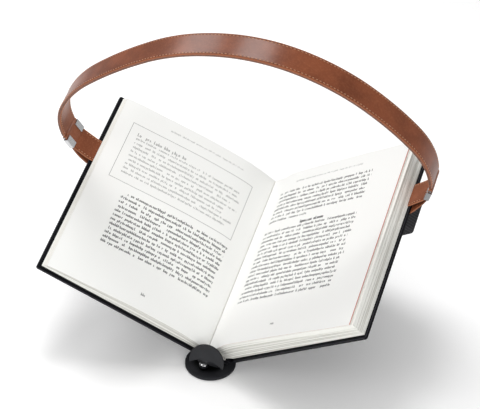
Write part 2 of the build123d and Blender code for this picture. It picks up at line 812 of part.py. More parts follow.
def nose():
    """The block that joins rail, lip and ball socket."""
    rail_low = felt_thickness + rail_thickness
    lean = radians(spine_lean)
    tail_low = (spine_y + rail_low * sin(lean) - nose_tail_gap * cos(lean),
                spine_z - rail_low * cos(lean) - nose_tail_gap * sin(lean))
    side = [tail_low, (tail_y(nose_top, nose_tail_gap), nose_top), (lip_back_y(nose_top), nose_top),
            (lip_back_y(lip_z - 1), lip_z - 1), (ball_y + 2, ball_z),
            (ball_y + ball_radius, tail_low[1] + 0.8)]
    face = make_face(Polyline(*side, close=True))
    body = Pos(lip_x - nose_width / 2, 0, 0) * extrude(Plane.YZ * face, amount=nose_width)
    body -= Pos(ball_x, ball_y, ball_z) * Sphere(ball_radius + ball_clearance)
    magnet_reach = (ball_radius + ball_clearance + magnet_gap) * sin(radians(45))
    magnet_y = ball_y + magnet_reach
    magnet_z = ball_z + magnet_reach
    tilt = Location((ball_x, magnet_y, magnet_z), (-45, 0, 0))
    magnet = tilt * Pos(0, 0, magnet_thickness / 2) * Cylinder(magnet_radius, magnet_thickness)
    magnet -= Pos(ball_x, ball_y, ball_z) * Sphere(ball_radius + ball_clearance)
    room = tilt * Pos(0, 0, magnet_thickness / 2) * Cylinder(magnet_radius, magnet_thickness)
    body -= room
    save("ball_magnet", magnet)
    save("nose_block", body)


def rail():
    """Rail and felt under the spine."""
    low = felt_thickness + rail_thickness
    felt = block((-rail_width / 2, 1, -felt_thickness), (rail_width / 2, rail_length, 0))
    body = block((-rail_width / 2, 0, -low), (rail_width / 2, rail_length, -felt_thickness))
    ends = body.edges().filter_by(Axis.Z).sort_by(Axis.Y)[-2:]
    body = fillet(ends, rail_width / 4)
    felt_ends = felt.edges().filter_by(Axis.Z).sort_by(Axis.Y)[-2:]
    felt = fillet(felt_ends, rail_width / 4)
    screws = []
    for y in (bracket_y - bracket_length / 3, bracket_y + bracket_length / 3):
        for x in (-bracket_width / 4, bracket_width / 4):
            place = Pos(x, y, -low + screw_head_height)
            shank = bracket_plate + screw_head_height
            screw = place * Pos(0, 0, -shank / 2) * Cylinder(screw_radius, shank)
            head = Cylinder(screw_head_radius, screw_head_height)
            screw += place * Pos(0, 0, -shank - screw_head_height / 2) * head
            body -= screw
            screws.append(screw)
    save("spine_felt", in_book(felt))
    save("spine_rail", in_book(body))
    return screws


def leg_hinge():
    """Pin of the rear leg as (y, z) of the book frame."""
    return (bracket_y, -(felt_thickness + rail_thickness + bracket_plate + leg_pin_drop))


def leg_bracket(screws):
    """Bracket with two ears under the head end of the rail."""
    y, z = leg_hinge()
    top = -(felt_thickness + rail_thickness)
    body = block((-bracket_width / 2, y - bracket_length / 2, top - bracket_plate),
                 (bracket_width / 2, y + bracket_length / 2, top))
    ear_radius = leg_pin_radius + leg_eye_wall
    for sign in (-1, 1):
        x_low = sign * ear_gap_width / 2
        x_high = sign * (ear_gap_width / 2 + ear_thickness)
        ear = Location(((x_low + x_high) / 2, y, z), (0, 90, 0)) * Cylinder(ear_radius, ear_thickness)
        ear += block((min(x_low, x_high), y - ear_radius, z),
                     (max(x_low, x_high), y + ear_radius, top - bracket_plate))
        body += ear
    pin_length = ear_gap_width + 2 * ear_thickness
    pin = Location((0, y, z), (0, 90, 0)) * Cylinder(leg_pin_radius, pin_length)
    body -= pin
    for screw in screws:
        body -= screw
    save("leg_bracket", in_book(body))
    save("leg_pin", in_book(pin))
    save("bracket_screws", Compound(children=[in_book(screw).solid() for screw in screws]))


def leg():
    """Stem, cross bar and pads of the folding rear leg, in the world frame."""
    y, z = leg_hinge()
    lean = radians(spine_lean)
    top = (spine_y + y * cos(lean) - z * sin(lean), spine_z + y * sin(lean) + z * cos(lean))
    splay = radians(leg_splay)
    length = top[1] / cos(splay)
    stem_end = length - leg_bar_height / 2 - leg_pad_thickness
    place = Location((spine_x, top[0], top[1]), (leg_splay, 0, 0))
    eye = leg_pin_radius + leg_eye_wall
    stem = Location((0, 0, 0), (0, 90, 0)) * Cylinder(eye, leg_stem_width)
    stem += block((-leg_stem_width / 2, -leg_stem_thickness / 2, -stem_end),
                  (leg_stem_width / 2, leg_stem_thickness / 2, 0))
    stem -= Location((0, 0, 0), (0, 90, 0)) * Cylinder(leg_pin_radius + leg_pin_clearance, leg_stem_width)
    bar_centre = (top[0] + (length - leg_pad_thickness) * sin(splay), leg_pad_thickness + leg_bar_height / 2)
    bar = Pos(spine_x, *bar_centre) * Box(leg_bar_length, leg_bar_thickness, leg_bar_height)
    bar = fillet(bar.edges().filter_by(Axis.Y), leg_bar_height / 4)
    heel = block((-leg_heel_width / 2, 0, 0), (leg_heel_width / 2, eye, leg_pin_drop - leg_stop_gap))
    heel -= Location((0, 0, 0), (0, 90, 0)) * Cylinder(leg_pin_radius + leg_pin_clearance, leg_stem_width)
    placed_stem = place * stem + Location((spine_x, *top), (spine_lean, 0, 0)) * heel
    placed_stem -= bar
    keep = block((-reach_all, -reach_all, leg_pad_thickness + leg_bar_height / 2),
                 (reach_all, reach_all, reach_all))
    placed_stem &= keep
    pads = []
    for sign in (-1, 1):
        x = spine_x + sign * (leg_bar_length / 2 - leg_pad_length / 2 - leg_bar_height / 4)
        pad = Box(leg_pad_length, leg_bar_thickness, leg_pad_thickness)
        pad = Pos(x, bar_centre[0], leg_pad_thickness / 2) * pad
        pads.append(pad.solid())
    save("leg_stem", placed_stem.solids().sort_by(SortBy.VOLUME)[-1])
    save("leg_bar", bar)
    save("leg_pads", Compound(children=pads))


def report_sizes():
    for side in ("left", "right"):
        length = sum(radius * abs(last - first) for _, radius, first, last in half(side))
        print(side, "strap half", round(length, 1), "pin", [round(v, 2) for v in pin_place[side]])
    print("skew", round(skew, 2), "arc radii", [round(arc[1], 1) for arc in left_arcs + right_arcs])


for side in ("left", "right"):
    board(side)
    pages(side)
    joint_cloth(side)
    clasp_side(side)
    strap_half(side)
    light_bar(side)
spine_board()
spine_pages()
headbands()
turning_leaf()
crown_pin()
housing()
foot()
lip()
nose()
leg_bracket(rail())
leg()
report_sizes()
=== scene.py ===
import bmesh
import bpy
import json
import random
from math import atan2, cos, hypot, pi, radians, sin, sqrt, tan
from mathutils import Euler, Matrix, Vector


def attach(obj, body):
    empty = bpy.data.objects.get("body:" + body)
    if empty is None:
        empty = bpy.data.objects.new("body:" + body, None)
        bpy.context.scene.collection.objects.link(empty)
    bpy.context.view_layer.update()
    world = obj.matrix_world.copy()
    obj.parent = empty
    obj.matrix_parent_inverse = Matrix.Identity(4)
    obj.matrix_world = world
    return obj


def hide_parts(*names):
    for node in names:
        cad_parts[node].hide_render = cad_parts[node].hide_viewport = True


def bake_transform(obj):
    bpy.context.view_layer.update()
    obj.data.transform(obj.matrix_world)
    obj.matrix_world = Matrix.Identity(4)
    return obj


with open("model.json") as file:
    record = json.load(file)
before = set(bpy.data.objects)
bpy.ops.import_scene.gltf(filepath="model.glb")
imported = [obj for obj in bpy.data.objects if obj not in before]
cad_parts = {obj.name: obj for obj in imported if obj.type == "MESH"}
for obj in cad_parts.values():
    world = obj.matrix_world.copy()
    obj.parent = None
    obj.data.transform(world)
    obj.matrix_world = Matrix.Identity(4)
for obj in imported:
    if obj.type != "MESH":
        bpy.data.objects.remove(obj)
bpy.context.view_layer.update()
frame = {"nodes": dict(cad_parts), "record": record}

MM = 0.001
nodes = frame["nodes"]

# The book's own frame: x across, y up the spine, z out of the spine, in millimetres
SPINE = Vector((5.4, -0.9, 8.0))
SPINE_LEAN = radians(19.5)
HINGE = 17.5
COVER_HEIGHT = 235.0
COVER_WIDTH = 197.0
BOARD = 3.0
OPENING = {"left": radians(31.0), "right": radians(39.0)}
SIGN = {"left": -1, "right": 1}

# A height about half way up the spine.
MIDWAY = 117.0


def book(x, y, z):
    """A place in the book's frame, as a place in the world."""
    c, s = cos(SPINE_LEAN), sin(SPINE_LEAN)
    return (SPINE + Vector((x, y * c - z * s, y * s + z * c))) * MM


def cover_flat(side, u, t):
    """A place on a cover's cross-section, as (x, z) of the book's frame."""
    a = OPENING[side]
    x = HINGE + u * cos(a) - t * sin(a)
    return (SIGN[side] * x, u * sin(a) + t * cos(a))


def cover(side, u, y, t):
    """A place over a cover: u outwards from its hinge, y up the spine, t off its outer face."""
    x, z = cover_flat(side, u, t)
    return book(x, y, z)


# Materials

def maths(kind, swapped=False):
    """A method of Field that makes a maths node of a kind."""

    def method(self, *others):
        values = (self, *others)
        sockets = dict(enumerate(values[::-1] if swapped else values))
        return self.finish.node("ShaderNodeMath", {"operation": kind}, sockets)

    return method


class Field:
    """A shader socket that can be used in sums."""

    def __init__(self, finish, socket):
        self.finish = finish
        self.socket = socket

    __add__, __radd__ = maths("ADD"), maths("ADD", True)
    __sub__, __rsub__ = maths("SUBTRACT"), maths("SUBTRACT", True)
    __mul__, __rmul__ = maths("MULTIPLY"), maths("MULTIPLY", True)
    __truediv__ = maths("DIVIDE")
    __gt__, __lt__ = maths("GREATER_THAN"), maths("LESS_THAN")
    smaller, larger = maths("MINIMUM"), maths("MAXIMUM")
    floor, fraction = maths("FLOOR"), maths("FRACT")
    size, root = maths("ABSOLUTE"), maths("SQRT")

    def ramp(self, low, high):
        """Smoothly from 0 to 1 while this field goes from low to high."""
        return self.finish.node("ShaderNodeMapRange", {"interpolation_type": "SMOOTHSTEP"},
                                {"Value": self, "From Min": low, "From Max": high})


class Finish:
    """A material made of nodes round one Principled shader."""

    def __init__(self, name, color, roughness, metallic=0.0, **fixed):
        self.material = bpy.data.materials.new(name)
        self.material.use_nodes = True
        self.tree = self.material.node_tree
        self.tree.nodes.clear()
        self.output = self.tree.nodes.new("ShaderNodeOutputMaterial")
        self.shader = self.tree.nodes.new("ShaderNodeBsdfPrincipled")
        self.tree.links.new(self.shader.outputs[0], self.output.inputs["Surface"])
        self.shader.inputs["Base Color"].default_value = (*color, 1.0)
        self.shader.inputs["Roughness"].default_value = roughness
        self.shader.inputs["Metallic"].default_value = metallic
        for key, value in fixed.items():
            self.shader.inputs[key.replace("_", " ")].default_value = value

    def connect(self, target, value):
        """Link a field to a socket, or set the socket to a value."""
        if isinstance(value, Field):
            self.tree.links.new(value.socket, target)
        elif isinstance(value, tuple) and target.type == "RGBA":
            target.default_value = (*value, 1.0)
        else:
            target.default_value = value

    def node(self, kind, settings=None, sockets=None, output=0):
        """A node of a type, with its settings first and then the values or links of its sockets."""
        made = self.tree.nodes.new(kind)
        for key, value in (settings or {}).items():
            setattr(made, key, value)
        for key, value in (sockets or {}).items():
            self.connect(made.inputs[key], value)
        return Field(self, made.outputs[output])

    def place(self):
        """Object coordinates in millimetres."""
        raw = self.node("ShaderNodeTexCoord", output="Object")
        return self.node("ShaderNodeVectorMath", {"operation": "SCALE"}, {0: raw, "Scale": 1000.0})

    def turned(self, angles, stretch=(1, 1, 1)):
        sockets = {"Vector": self.place(), "Rotation": angles, "Scale": stretch}
        return self.node("ShaderNodeMapping", {}, sockets)

    def axes(self, where):
        """The three parts of a vector."""
        split = self.node("ShaderNodeSeparateXYZ", {}, {0: where}).socket.node
        return [Field(self, part) for part in split.outputs]

    def marks(self):
        """The three marks that a piece keeps on its points."""
        return self.axes(self.node("ShaderNodeAttribute", {"attribute_name": "place"}, output="Vector"))

    def vector(self, x, y, z):
        return self.node("ShaderNodeCombineXYZ", {}, {0: x, 1: y, 2: z})

    def noise(self, where, scale, detail=3.0, rough=0.5):
        sockets = {"Vector": where, "Scale": scale, "Detail": detail, "Roughness": rough}
        return self.node("ShaderNodeTexNoise", {}, sockets)

    def cells(self, where, scale, feature="F1"):
        sockets = {"Vector": where, "Scale": scale}
        return self.node("ShaderNodeTexVoronoi", {"feature": feature}, sockets, "Distance")

    def chance(self, where):
        settings = {"noise_dimensions": "3D"}
        return self.node("ShaderNodeTexWhiteNoise", settings, {"Vector": where}, "Value")

    def blend(self, share, a, b):
        """A colour between a and b, by a share that may vary."""
        made = self.tree.nodes.new("ShaderNodeMix")
        made.data_type = "RGBA"
        factor = [i for i in made.inputs if i.type == "VALUE" and i.name == "Factor"][0]
        colours = [i for i in made.inputs if i.type == "RGBA"]
        for target, value in ((factor, share), (colours[0], a), (colours[1], b)):
            self.connect(target, value)
        return Field(self, [o for o in made.outputs if o.type == "RGBA"][0])

    def paint(self, color, roughness=None):
        """Link the colour to the shader, and the roughness where it varies too."""
        self.connect(self.shader.inputs["Base Color"], color)
        if roughness is not None:
            self.connect(self.shader.inputs["Roughness"], roughness)

    def relief(self, height, depth):
        """Bump from a height field whose full swing is depth metres. Gives back the material."""
        bump = self.node("ShaderNodeBump", {}, {"Strength": 1.0, "Distance": depth, "Height": height})
        self.connect(self.shader.inputs["Normal"], bump)
        return self.material


def scaled(tone, share, lift=0.0):
    """A colour made darker or lighter."""
    return tuple(c * share + lift for c in tone)


def leather(name, dark, light, edge, gloss=0.42):
    """Smooth full-grain leather, a little paler and creased along both of its long edges."""
    f = Finish(name, dark, 0.5, Specular_IOR_Level=0.1, Coat_Weight=0.42, Coat_Roughness=0.24)
    where = f.place()
    cloud = f.noise(where, 0.03)
    pores = f.cells(where, 1.5)
    grain = f.noise(where, 0.5, 5.0, 0.62)
    wrinkle = f.noise(where, 0.16, 4.0, 0.7)
    rim = f.marks()[1]
    base = f.blend(cloud.ramp(0.35, 0.68), dark, light)
    mottled = f.blend(grain.ramp(0.42, 0.75) * 0.2 + wrinkle.ramp(0.5, 0.8) * 0.16, base, edge)
    crease = 1.0 - (rim - 0.84).size().ramp(0.0, 0.03)
    wear_and_painted_light = rim.ramp(0.88, 1.0) * (0.55 + 0.4 * grain)
    worn = f.blend(wear_and_painted_light, mottled, edge)
    # painted shade: a darker line along the crease groove
    f.paint(f.blend(crease * 0.55, worn, scaled(dark, 0.6)),
            gloss - 0.06 + 0.2 * grain - 0.06 * cloud + 0.06 * wear_and_painted_light)
    return f.relief(grain * 0.45 + pores * 0.3 + wrinkle * 0.4 - crease * 1.4, 0.0002)


def raw_edge(name, tone, deep):
    """The painted cut edge of the strap."""
    f = Finish(name, tone, 0.5)
    where = f.place()
    streak = f.noise(where, 0.4, 4.0).ramp(0.35, 0.7)
    f.paint(f.blend(streak, tone, deep), 0.4 + 0.25 * f.noise(where, 1.5, 2.0))
    return f.relief(f.noise(where, 1.2), 0.00015)


def twisted_thread(name, tone):
    f = Finish(name, tone, 0.75, Sheen_Weight=0.3)
    twist = {"Vector": f.place(), "Scale": 1.4, "Distortion": 1.0}
    strands = f.node("ShaderNodeTexWave", {"bands_direction": "DIAGONAL"}, twist)
    f.paint(f.blend(strands, scaled(tone, 0.72), tone))
    return f.relief(strands, 0.0001)


# How far the first mark of a case runs, and the width of the painted highlight line round its boards
CASE_SPAN = 210.0
BORDER = 0.3


def book_cloth(name, tone, worn, edge_highlight_tone):
    """Fine woven cloth glued over the boards, with a painted highlight along the edges of the boards."""
    f = Finish(name, tone, 0.5, Specular_IOR_Level=0.07)
    threads_per_mm = 1.6
    x, y = f.axes(f.turned((-SPINE_LEAN, 0.0, 0.0)))[:2]
    warp = ((x * threads_per_mm).fraction() - 0.5).size()
    weft = ((y * threads_per_mm).fraction() - 0.5).size()
    weave = warp.larger(weft)
    cloud = f.noise(f.place(), 0.06)
    fleck = f.noise(f.place(), 0.9, 2.0)
    shade = cloud.ramp(0.4, 0.7) * 0.35 + fleck.ramp(0.55, 0.75) * 0.25 + weave.ramp(0.3, 0.5) * 0.2
    out, up, through = f.marks()
    fore_edge = out > CASE_SPAN - BORDER
    tail_edge = (up < BORDER) * (out > 17.0)
    head_edge = up > COVER_HEIGHT - BORDER
    border = fore_edge.larger(tail_edge).larger(head_edge)
    # painted highlight: a lighter line round the edges of the boards
    wear_and_painted_light = border * (through > 0.88) * (0.45 + 0.55 * fleck.ramp(0.35, 0.6))
    f.paint(f.blend(wear_and_painted_light * 0.8, f.blend(shade, tone, worn), edge_highlight_tone), 0.36 + 0.2 * fleck)
    return f.relief(weave * 0.5 + fleck * 0.4, 0.00012)


def leaf_edges(name, shadow, paper):
    """The cut edges of a stack of leaves, with painted shade in fine lines along the sheets and in a few gaps
    between them.
    """
    f = Finish(name, paper, 0.8, Specular_IOR_Level=0.3)
    along, up, level = f.marks()
    fine = f.noise(f.vector(along * 0.015, up * 0.015, level * 2.6), 1.0, 3.0, 0.7)
    gaps = f.noise(f.vector(along * 0.002, up * 0.002, level * 0.42), 1.0, 1.0, 0.5)
    cloud = f.noise(f.place(), 0.02, 2.0)
    shade = fine.ramp(0.28, 0.55) * 0.3 + (gaps - 0.5).size().ramp(0.008, 0.075) * 0.7
    pale = f.blend(cloud, paper, scaled(paper, 0.965))
    f.paint(f.blend(shade, shadow, pale), 0.72 + 0.15 * fine)
    return f.relief(fine, 0.0002)


RED_RIM = (0.62, 0.26, 0.22)
INK = (0.012, 0.012, 0.014)


class Print:
    """Greeked print on a page: rows of short strokes that spell nothing, in millimetres."""

    def __init__(self, name, paper, mirrored=False):
        self.f = Finish(name, paper, 0.7, Specular_IOR_Level=0.3)
        self.paper = paper
        self.mirrored = mirrored
        self.u, self.y, self.level = self.f.marks()
        self.ink = None
        self.rim = None
        self.seed = 0.0

    def add(self, mask):
        self.ink = mask if self.ink is None else self.ink.larger(mask)

    def inside(self, u0, u1, y0, y1):
        u, y = self.u, self.y
        return (u > u0) * (u < u1) * (y > y0) * (y < y1)

    def rows(self, u0, u1, top, last, count, letter, dark, indent=0.0, ragged=0.0, bold=1.0, gaps=0.17):
        """A block of rows whose middles run from top down to last. u0 and u1 are its sides; reading
        starts at u1 on a mirrored page. letter is the width of a letter, and letters are as high."""
        f = self.f
        self.seed += 7.0
        pitch = (top - last) / (count - 1) if count > 1 else letter * 3.0
        high, low = top + pitch / 2, last - pitch / 2
        down = (high - self.y) / pitch
        row = down.floor()
        lift = (0.5 - down.fraction()) * (pitch / letter) + 0.5
        forward = (u1 - self.u) if self.mirrored else (self.u - u0)
        place = forward / letter + row * 0.37
        index = place.floor()
        inner = place - index
        kind = f.chance(f.vector(index, row, self.seed))
        second = f.chance(f.vector(index, row, self.seed + 2.0))
        third = f.chance(f.vector(row, index, self.seed + 4.0))
        rise = 1.05 + (second > 0.68) * 0.6
        drop = 0.0 - (second < 0.14) * 0.5
        wide = 0.115 * bold

        def stroke(distance, half_width):
            return 1.0 - (distance.size() - half_width).ramp(0.0, 0.09)

        stem = stroke(inner - 0.24, wide) * (lift < rise) * (lift > drop)
        other = stroke(inner - 0.7, wide) * (lift < 1.0) * (lift > 0.0) * (kind > 0.42)
        level = 0.08 + third.ramp(0.2, 0.8) * 0.84
        bar = stroke(lift - level, wide * 0.8) * (inner > 0.2) * (inner < 0.78)
        glyph = stem.larger(other * 0.95).larger(bar * 0.9)
        written = kind > gaps
        end = f.chance(f.vector(row, self.seed, 3.0))
        stop = forward < ((u1 - u0) - end * ragged)
        begin = forward > (indent * (1.0 - row.smaller(1.0)))
        self.add(self.inside(u0, u1, low, high) * glyph * written * stop * begin * dark)

    def line(self, u0, u1, middle, letter, dark, **more):
        """A single row."""
        self.rows(u0, u1, middle, middle, 1, letter, dark, **more)

    def frame(self, u0, u1, y0, y1, line, dark):
        """A thin ruled box."""
        outer = self.inside(u0 - line, u1 + line, y0 - line, y1 + line)
        inner = self.inside(u0, u1, y0, y1)
        self.add((outer - inner) * dark)

    def tint(self, u0, u1, y0, y1, dark):
        self.add(self.inside(u0, u1, y0, y1) * dark)

    def dry(self):
        """The material, with its paper, its print and its rim."""
        f = self.f
        fibre = f.noise(f.place(), 0.9, 4.0, 0.6)
        cloud = f.noise(f.place(), 0.012, 2.0)
        pale = f.blend(cloud, self.paper, scaled(self.paper, 0.975))
        base = f.blend(fibre.ramp(0.3, 0.8) * 0.5, pale, scaled(self.paper, 0.985))
        if self.ink is not None:
            base = f.blend(self.ink, base, INK)
        if self.rim is not None:
            base = f.blend(self.rim, base, RED_RIM)
        f.paint(base, 0.62 + 0.2 * fibre)
        return f.relief(fibre, 0.00004)


def left_print():
    """Running head, a ruled box with a heading and text, the text below it, page number."""
    # The paper is a little darker than the right page's: painted shade, for the weaker light on the left page
    p = Print("left_page_print", (0.905, 0.91, 0.888), mirrored=True)
    box = (21.3, 171.5, 132.5, 206.0)
    p.frame(*box, 0.6, 0.62)
    p.tint(*box, 0.012)
    p.line(38.3, 132.1, 218.4, 1.3, 0.55)
    p.line(101.2, 162.4, 193.9, 2.5, 0.72, bold=0.9, gaps=0.12)
    p.rows(27.0, 162.0, 189.0, 143.7, 9, 1.75, 0.62, ragged=18.0)
    p.rows(20.5, 150.6, 120.5, 57.3, 12, 2.0, 1.0, indent=6.3, ragged=2.5, bold=1.12)
    p.line(83.5, 88.5, 20.5, 1.9, 0.8, bold=1.2, gaps=0.0)
    return p.dry()


def right_print():
    """Running head, a paragraph and its short last row, a heading, text, page number, red rim."""
    p = Print("right_page_print", (0.93, 0.93, 0.91))
    p.line(29.0, 128.4, 217.2, 1.3, 0.55)
    p.rows(9.3, 147.0, 204.0, 170.0, 7, 2.0, 0.92, ragged=3.0, bold=1.2)
    p.line(9.3, 67.0, 164.1, 2.0, 0.92, bold=1.2)
    p.line(62.3, 96.3, 153.9, 2.5, 0.95, bold=1.6, gaps=0.1)
    p.rows(8.8, 147.5, 148.3, 57.8, 17, 2.0, 0.92, ragged=5.0, bold=1.16)
    p.line(77.0, 82.0, 20.2, 1.9, 0.8, bold=1.2, gaps=0.0)
    rim_width = 1.1
    p.rim = p.level < rim_width
    return p.dry()


def plain_paper(name):
    return Print(name, (0.91, 0.90, 0.86)).dry()


def metal(name, tone, rough, brushed=(1.0, 1.0, 1.0)):
    f = Finish(name, tone, rough, 1.0)
    where = f.turned((0.0, 0.0, 0.0), brushed)
    streak = f.noise(where, 1.2, 3.0, 0.6)
    smudge = f.noise(f.place(), 0.15, 2.0)
    f.paint(f.blend(streak.ramp(0.3, 0.8), tone, scaled(tone, 0.82)),
            rough + 0.18 * (streak - 0.5) + 0.1 * (smudge - 0.5))
    return f.relief(streak, 0.00003)


def coated(name, tone, rough, grain=2.2, depth=0.00012):
    """Powder coat or moulded plastic with a fine speckled surface."""
    f = Finish(name, tone, rough, Specular_IOR_Level=0.3)
    where = f.place()
    speckle = f.cells(where, grain)
    cloud = f.noise(where, 0.08)
    lighter = scaled(tone, 1.35, 0.004)
    f.paint(f.blend(cloud.ramp(0.35, 0.75) * 0.6, tone, lighter),
            rough + 0.12 * (cloud - 0.5) + 0.08 * speckle)
    return f.relief(speckle, depth)


def hatched_plastic(name, tone):
    """Moulded plastic with a fine slanting hatch."""
    f = Finish(name, tone, 0.46, Specular_IOR_Level=0.3)
    hatch_pitch = 3.4
    x, y, z = f.axes(f.place())
    line = (((y * 0.8 + z * 0.9 + x * 0.35) / hatch_pitch).fraction() - 0.5).size()
    groove = line.ramp(0.06, 0.16)
    speckle = f.cells(f.place(), 3.0)
    f.paint(f.blend(groove, scaled(tone, 2.4, 0.008), tone), 0.42 + 0.1 * speckle)
    return f.relief(groove * 0.7 + speckle * 0.3, 0.00018)


def polished_ball(name):
    """A steel ball: bright steel above, and black below as painted shade where it sits in its seat."""
    bright_steel, ball_painted_shade = (0.6, 0.6, 0.61), (0.01, 0.01, 0.012)
    ball_shade_top = (11.3, 12.7)
    f = Finish(name, (0.62, 0.62, 0.63), 0.14, 1.0)
    smear = f.noise(f.place(), 0.25)
    height = f.axes(f.place())[2]
    # painted shade: black on the lower part of the ball, steel above
    ball_unshaded = (height + smear * 0.8).ramp(*ball_shade_top)
    f.paint(f.blend(ball_unshaded, ball_painted_shade, bright_steel), 0.1 + 0.14 * smear.ramp(0.4, 0.8))
    return f.relief(smear, 0.00001)


def felted(name, tone):
    f = Finish(name, tone, 0.95, Sheen_Weight=0.4)
    fuzz = f.noise(f.place(), 1.6, 6.0, 0.75)
    f.paint(f.blend(fuzz, scaled(tone, 0.7), scaled(tone, 1.3)))
    return f.relief(fuzz, 0.0005)


def striped(name, a, b, pitch):
    f = Finish(name, a, 0.7, Sheen_Weight=0.2)
    x = f.axes(f.place())[0]
    bands = ((x / pitch).fraction() - 0.5).size().ramp(0.2, 0.3)
    f.paint(f.blend(bands, a, b))
    return f.relief(bands, 0.0002)


def disc_with_painted_shade(name):
    """The foot's coat: dark grey, with painted shade, black, in its middle under the lip."""
    disc_painted_shade, disc_coat_grey = (0.001, 0.001, 0.0012), (0.024, 0.0245, 0.028)
    f = Finish(name, (0.02, 0.021, 0.025), 0.55, Specular_IOR_Level=0.07)
    where = f.place()
    x, y = f.axes(where)[:2]
    from_middle = (x * x + y * y).root()
    speckle = f.cells(where, 2.2)
    cloud = f.noise(where, 0.08)
    # painted shade: black in the middle of the disc, where the lip above it shades it
    wear_and_painted_light = (from_middle + cloud * 5.0).ramp(16.0, 24.0)
    f.paint(f.blend(wear_and_painted_light, disc_painted_shade, disc_coat_grey), 0.46 + 0.12 * cloud + 0.08 * speckle)
    return f.relief(speckle, 0.00012)


def circuit(name):
    """Green lacquer with copper tracks."""
    green, copper = (0.02, 0.12, 0.05), (0.25, 0.2, 0.06)
    f = Finish(name, green, 0.4)
    lines = f.cells(f.place(), 0.5, "DISTANCE_TO_EDGE").ramp(0.03, 0.06)
    f.paint(f.blend(lines, copper, green), 0.3 + 0.3 * lines)
    return f.relief(lines, 0.0001)


def light_board(name):
    """White lacquer with small yellow light chips."""
    f = Finish(name, (0.85, 0.84, 0.78), 0.5)
    spots = f.cells(f.place(), 0.1)
    f.paint(f.blend(spots.ramp(0.2, 0.4), (0.9, 0.75, 0.25), (0.88, 0.88, 0.84)))
    return f.relief(spots, 0.00005)


def diffuse_plastic(name):
    f = Finish(name, (0.9, 0.89, 0.85), 0.45)
    ribs = f.noise(f.place(), 0.8)
    f.paint(f.blend(ribs, (0.86, 0.85, 0.82), (0.93, 0.92, 0.9)), 0.4 + 0.2 * ribs)
    return f.relief(ribs, 0.00006)


# Black paper for the sheet that stands in for shade under the left pages
def shade_sheet_paper(name):
    f = Finish(name, (0.008, 0.008, 0.009), 0.6, Specular_IOR_Level=0.15)
    fibre = f.noise(f.place(), 1.2, 4.0, 0.6)
    f.paint(f.blend(fibre, (0.006, 0.006, 0.007), (0.014, 0.014, 0.016)), 0.5 + 0.3 * fibre)
    return f.relief(fibre, 0.0001)


def red_paper(name):
    f = Finish(name, RED_RIM, 0.7)
    grain = f.noise(f.place(), 0.3)
    f.paint(f.blend(grain, (0.55, 0.2, 0.17), (0.68, 0.33, 0.28)))
    return f.material


# Leather tones: dark, light, rubbed edge
STRAP_TAN = (0.168, 0.046, 0.019), (0.246, 0.07, 0.029), (0.43, 0.15, 0.068)
LINING_TAN = (0.215, 0.063, 0.027), (0.3, 0.094, 0.042), (0.47, 0.18, 0.09)
TAB_TAN = (0.2, 0.057, 0.024), (0.275, 0.083, 0.035), (0.52, 0.205, 0.1)

outer_leather = leather("strap_outer_leather", *STRAP_TAN)
lining_leather = leather("strap_lining_leather", *LINING_TAN)
tab_leather = leather("tab_leather", *TAB_TAN, gloss=0.46)
strap_edge = raw_edge("strap_painted_edge", (0.2, 0.08, 0.045), (0.12, 0.046, 0.027))
thread = twisted_thread("strap_thread", (0.66, 0.31, 0.15))
cloth = book_cloth("book_cloth", (0.0045, 0.0045, 0.006), (0.012, 0.012, 0.015), (0.055, 0.055, 0.066))
edges = leaf_edges("leaf_edges", (0.5, 0.49, 0.44), (0.97, 0.97, 0.92))
left_page = left_print()
right_page = right_print()
blank_page = plain_paper("blank_page")
silver = metal("clasp_silver", (0.64, 0.64, 0.65), 0.24, (0.3, 2.0, 2.0))
steel = metal("plain_steel", (0.55, 0.55, 0.56), 0.35)
stand_coat = coated("stand_powder_coat", (0.012, 0.0125, 0.015), 0.5)
shell_plastic = hatched_plastic("housing_plastic", (0.011, 0.011, 0.013))
rubber = coated("foot_rubber", (0.02, 0.02, 0.02), 0.85, 1.5, 0.0003)
ball_steel = polished_ball("ball_steel")
felt = felted("rail_felt", (0.03, 0.03, 0.033))
band_cloth = striped("headband_cloth", (0.75, 0.73, 0.68), (0.12, 0.12, 0.13), 1.6)
pcb = circuit("control_board_lacquer")
led_white = light_board("light_strip_lacquer")
diffuser = diffuse_plastic("diffuser_plastic")
channel = metal("channel_anodised", (0.12, 0.1, 0.09), 0.4, (0.3, 1.0, 1.0))
cell_foil = metal("cell_foil", (0.6, 0.62, 0.66), 0.35)
disc_coat = disc_with_painted_shade("foot_disc_coat")

BY_SLOT = {
    "cover": cloth,
    "pages": edges,
    "strap_leather": lining_leather,
    "clasp_metal": silver,
    "steel": steel,
    "housing": shell_plastic,
    "light_channel": channel,
    "light_strip": led_white,
    "diffuser": diffuser,
    "circuit_board": pcb,
    "cell": cell_foil,
    "stand_metal": stand_coat,
    "ball": ball_steel,
    "rubber": rubber,
    "felt": felt,
    "headband": band_cloth,
}
for entry in frame["record"]["subparts"]:
    shown = nodes[entry["node"]].data.materials
    shown.clear()
    shown.append(disc_coat if entry["node"] == "foot_disc" else BY_SLOT[entry["material_slot"]])


# Shapes

def slab(across, along):
    """A unit slab from a subdivided grid, and the layer that keeps three marks on each point."""
    bm = bmesh.new()
    bmesh.ops.create_grid(bm, x_segments=across, y_segments=along, size=0.5)
    raised = bmesh.ops.extrude_face_region(bm, geom=bm.faces[:])["geom"]
    top = [v for v in raised if isinstance(v, bmesh.types.BMVert)]
    bmesh.ops.translate(bm, verts=top, vec=(0, 0, 1))
    for face in bm.faces:
        face.smooth = True
    return bm, bm.verts.layers.float_vector.new("place")


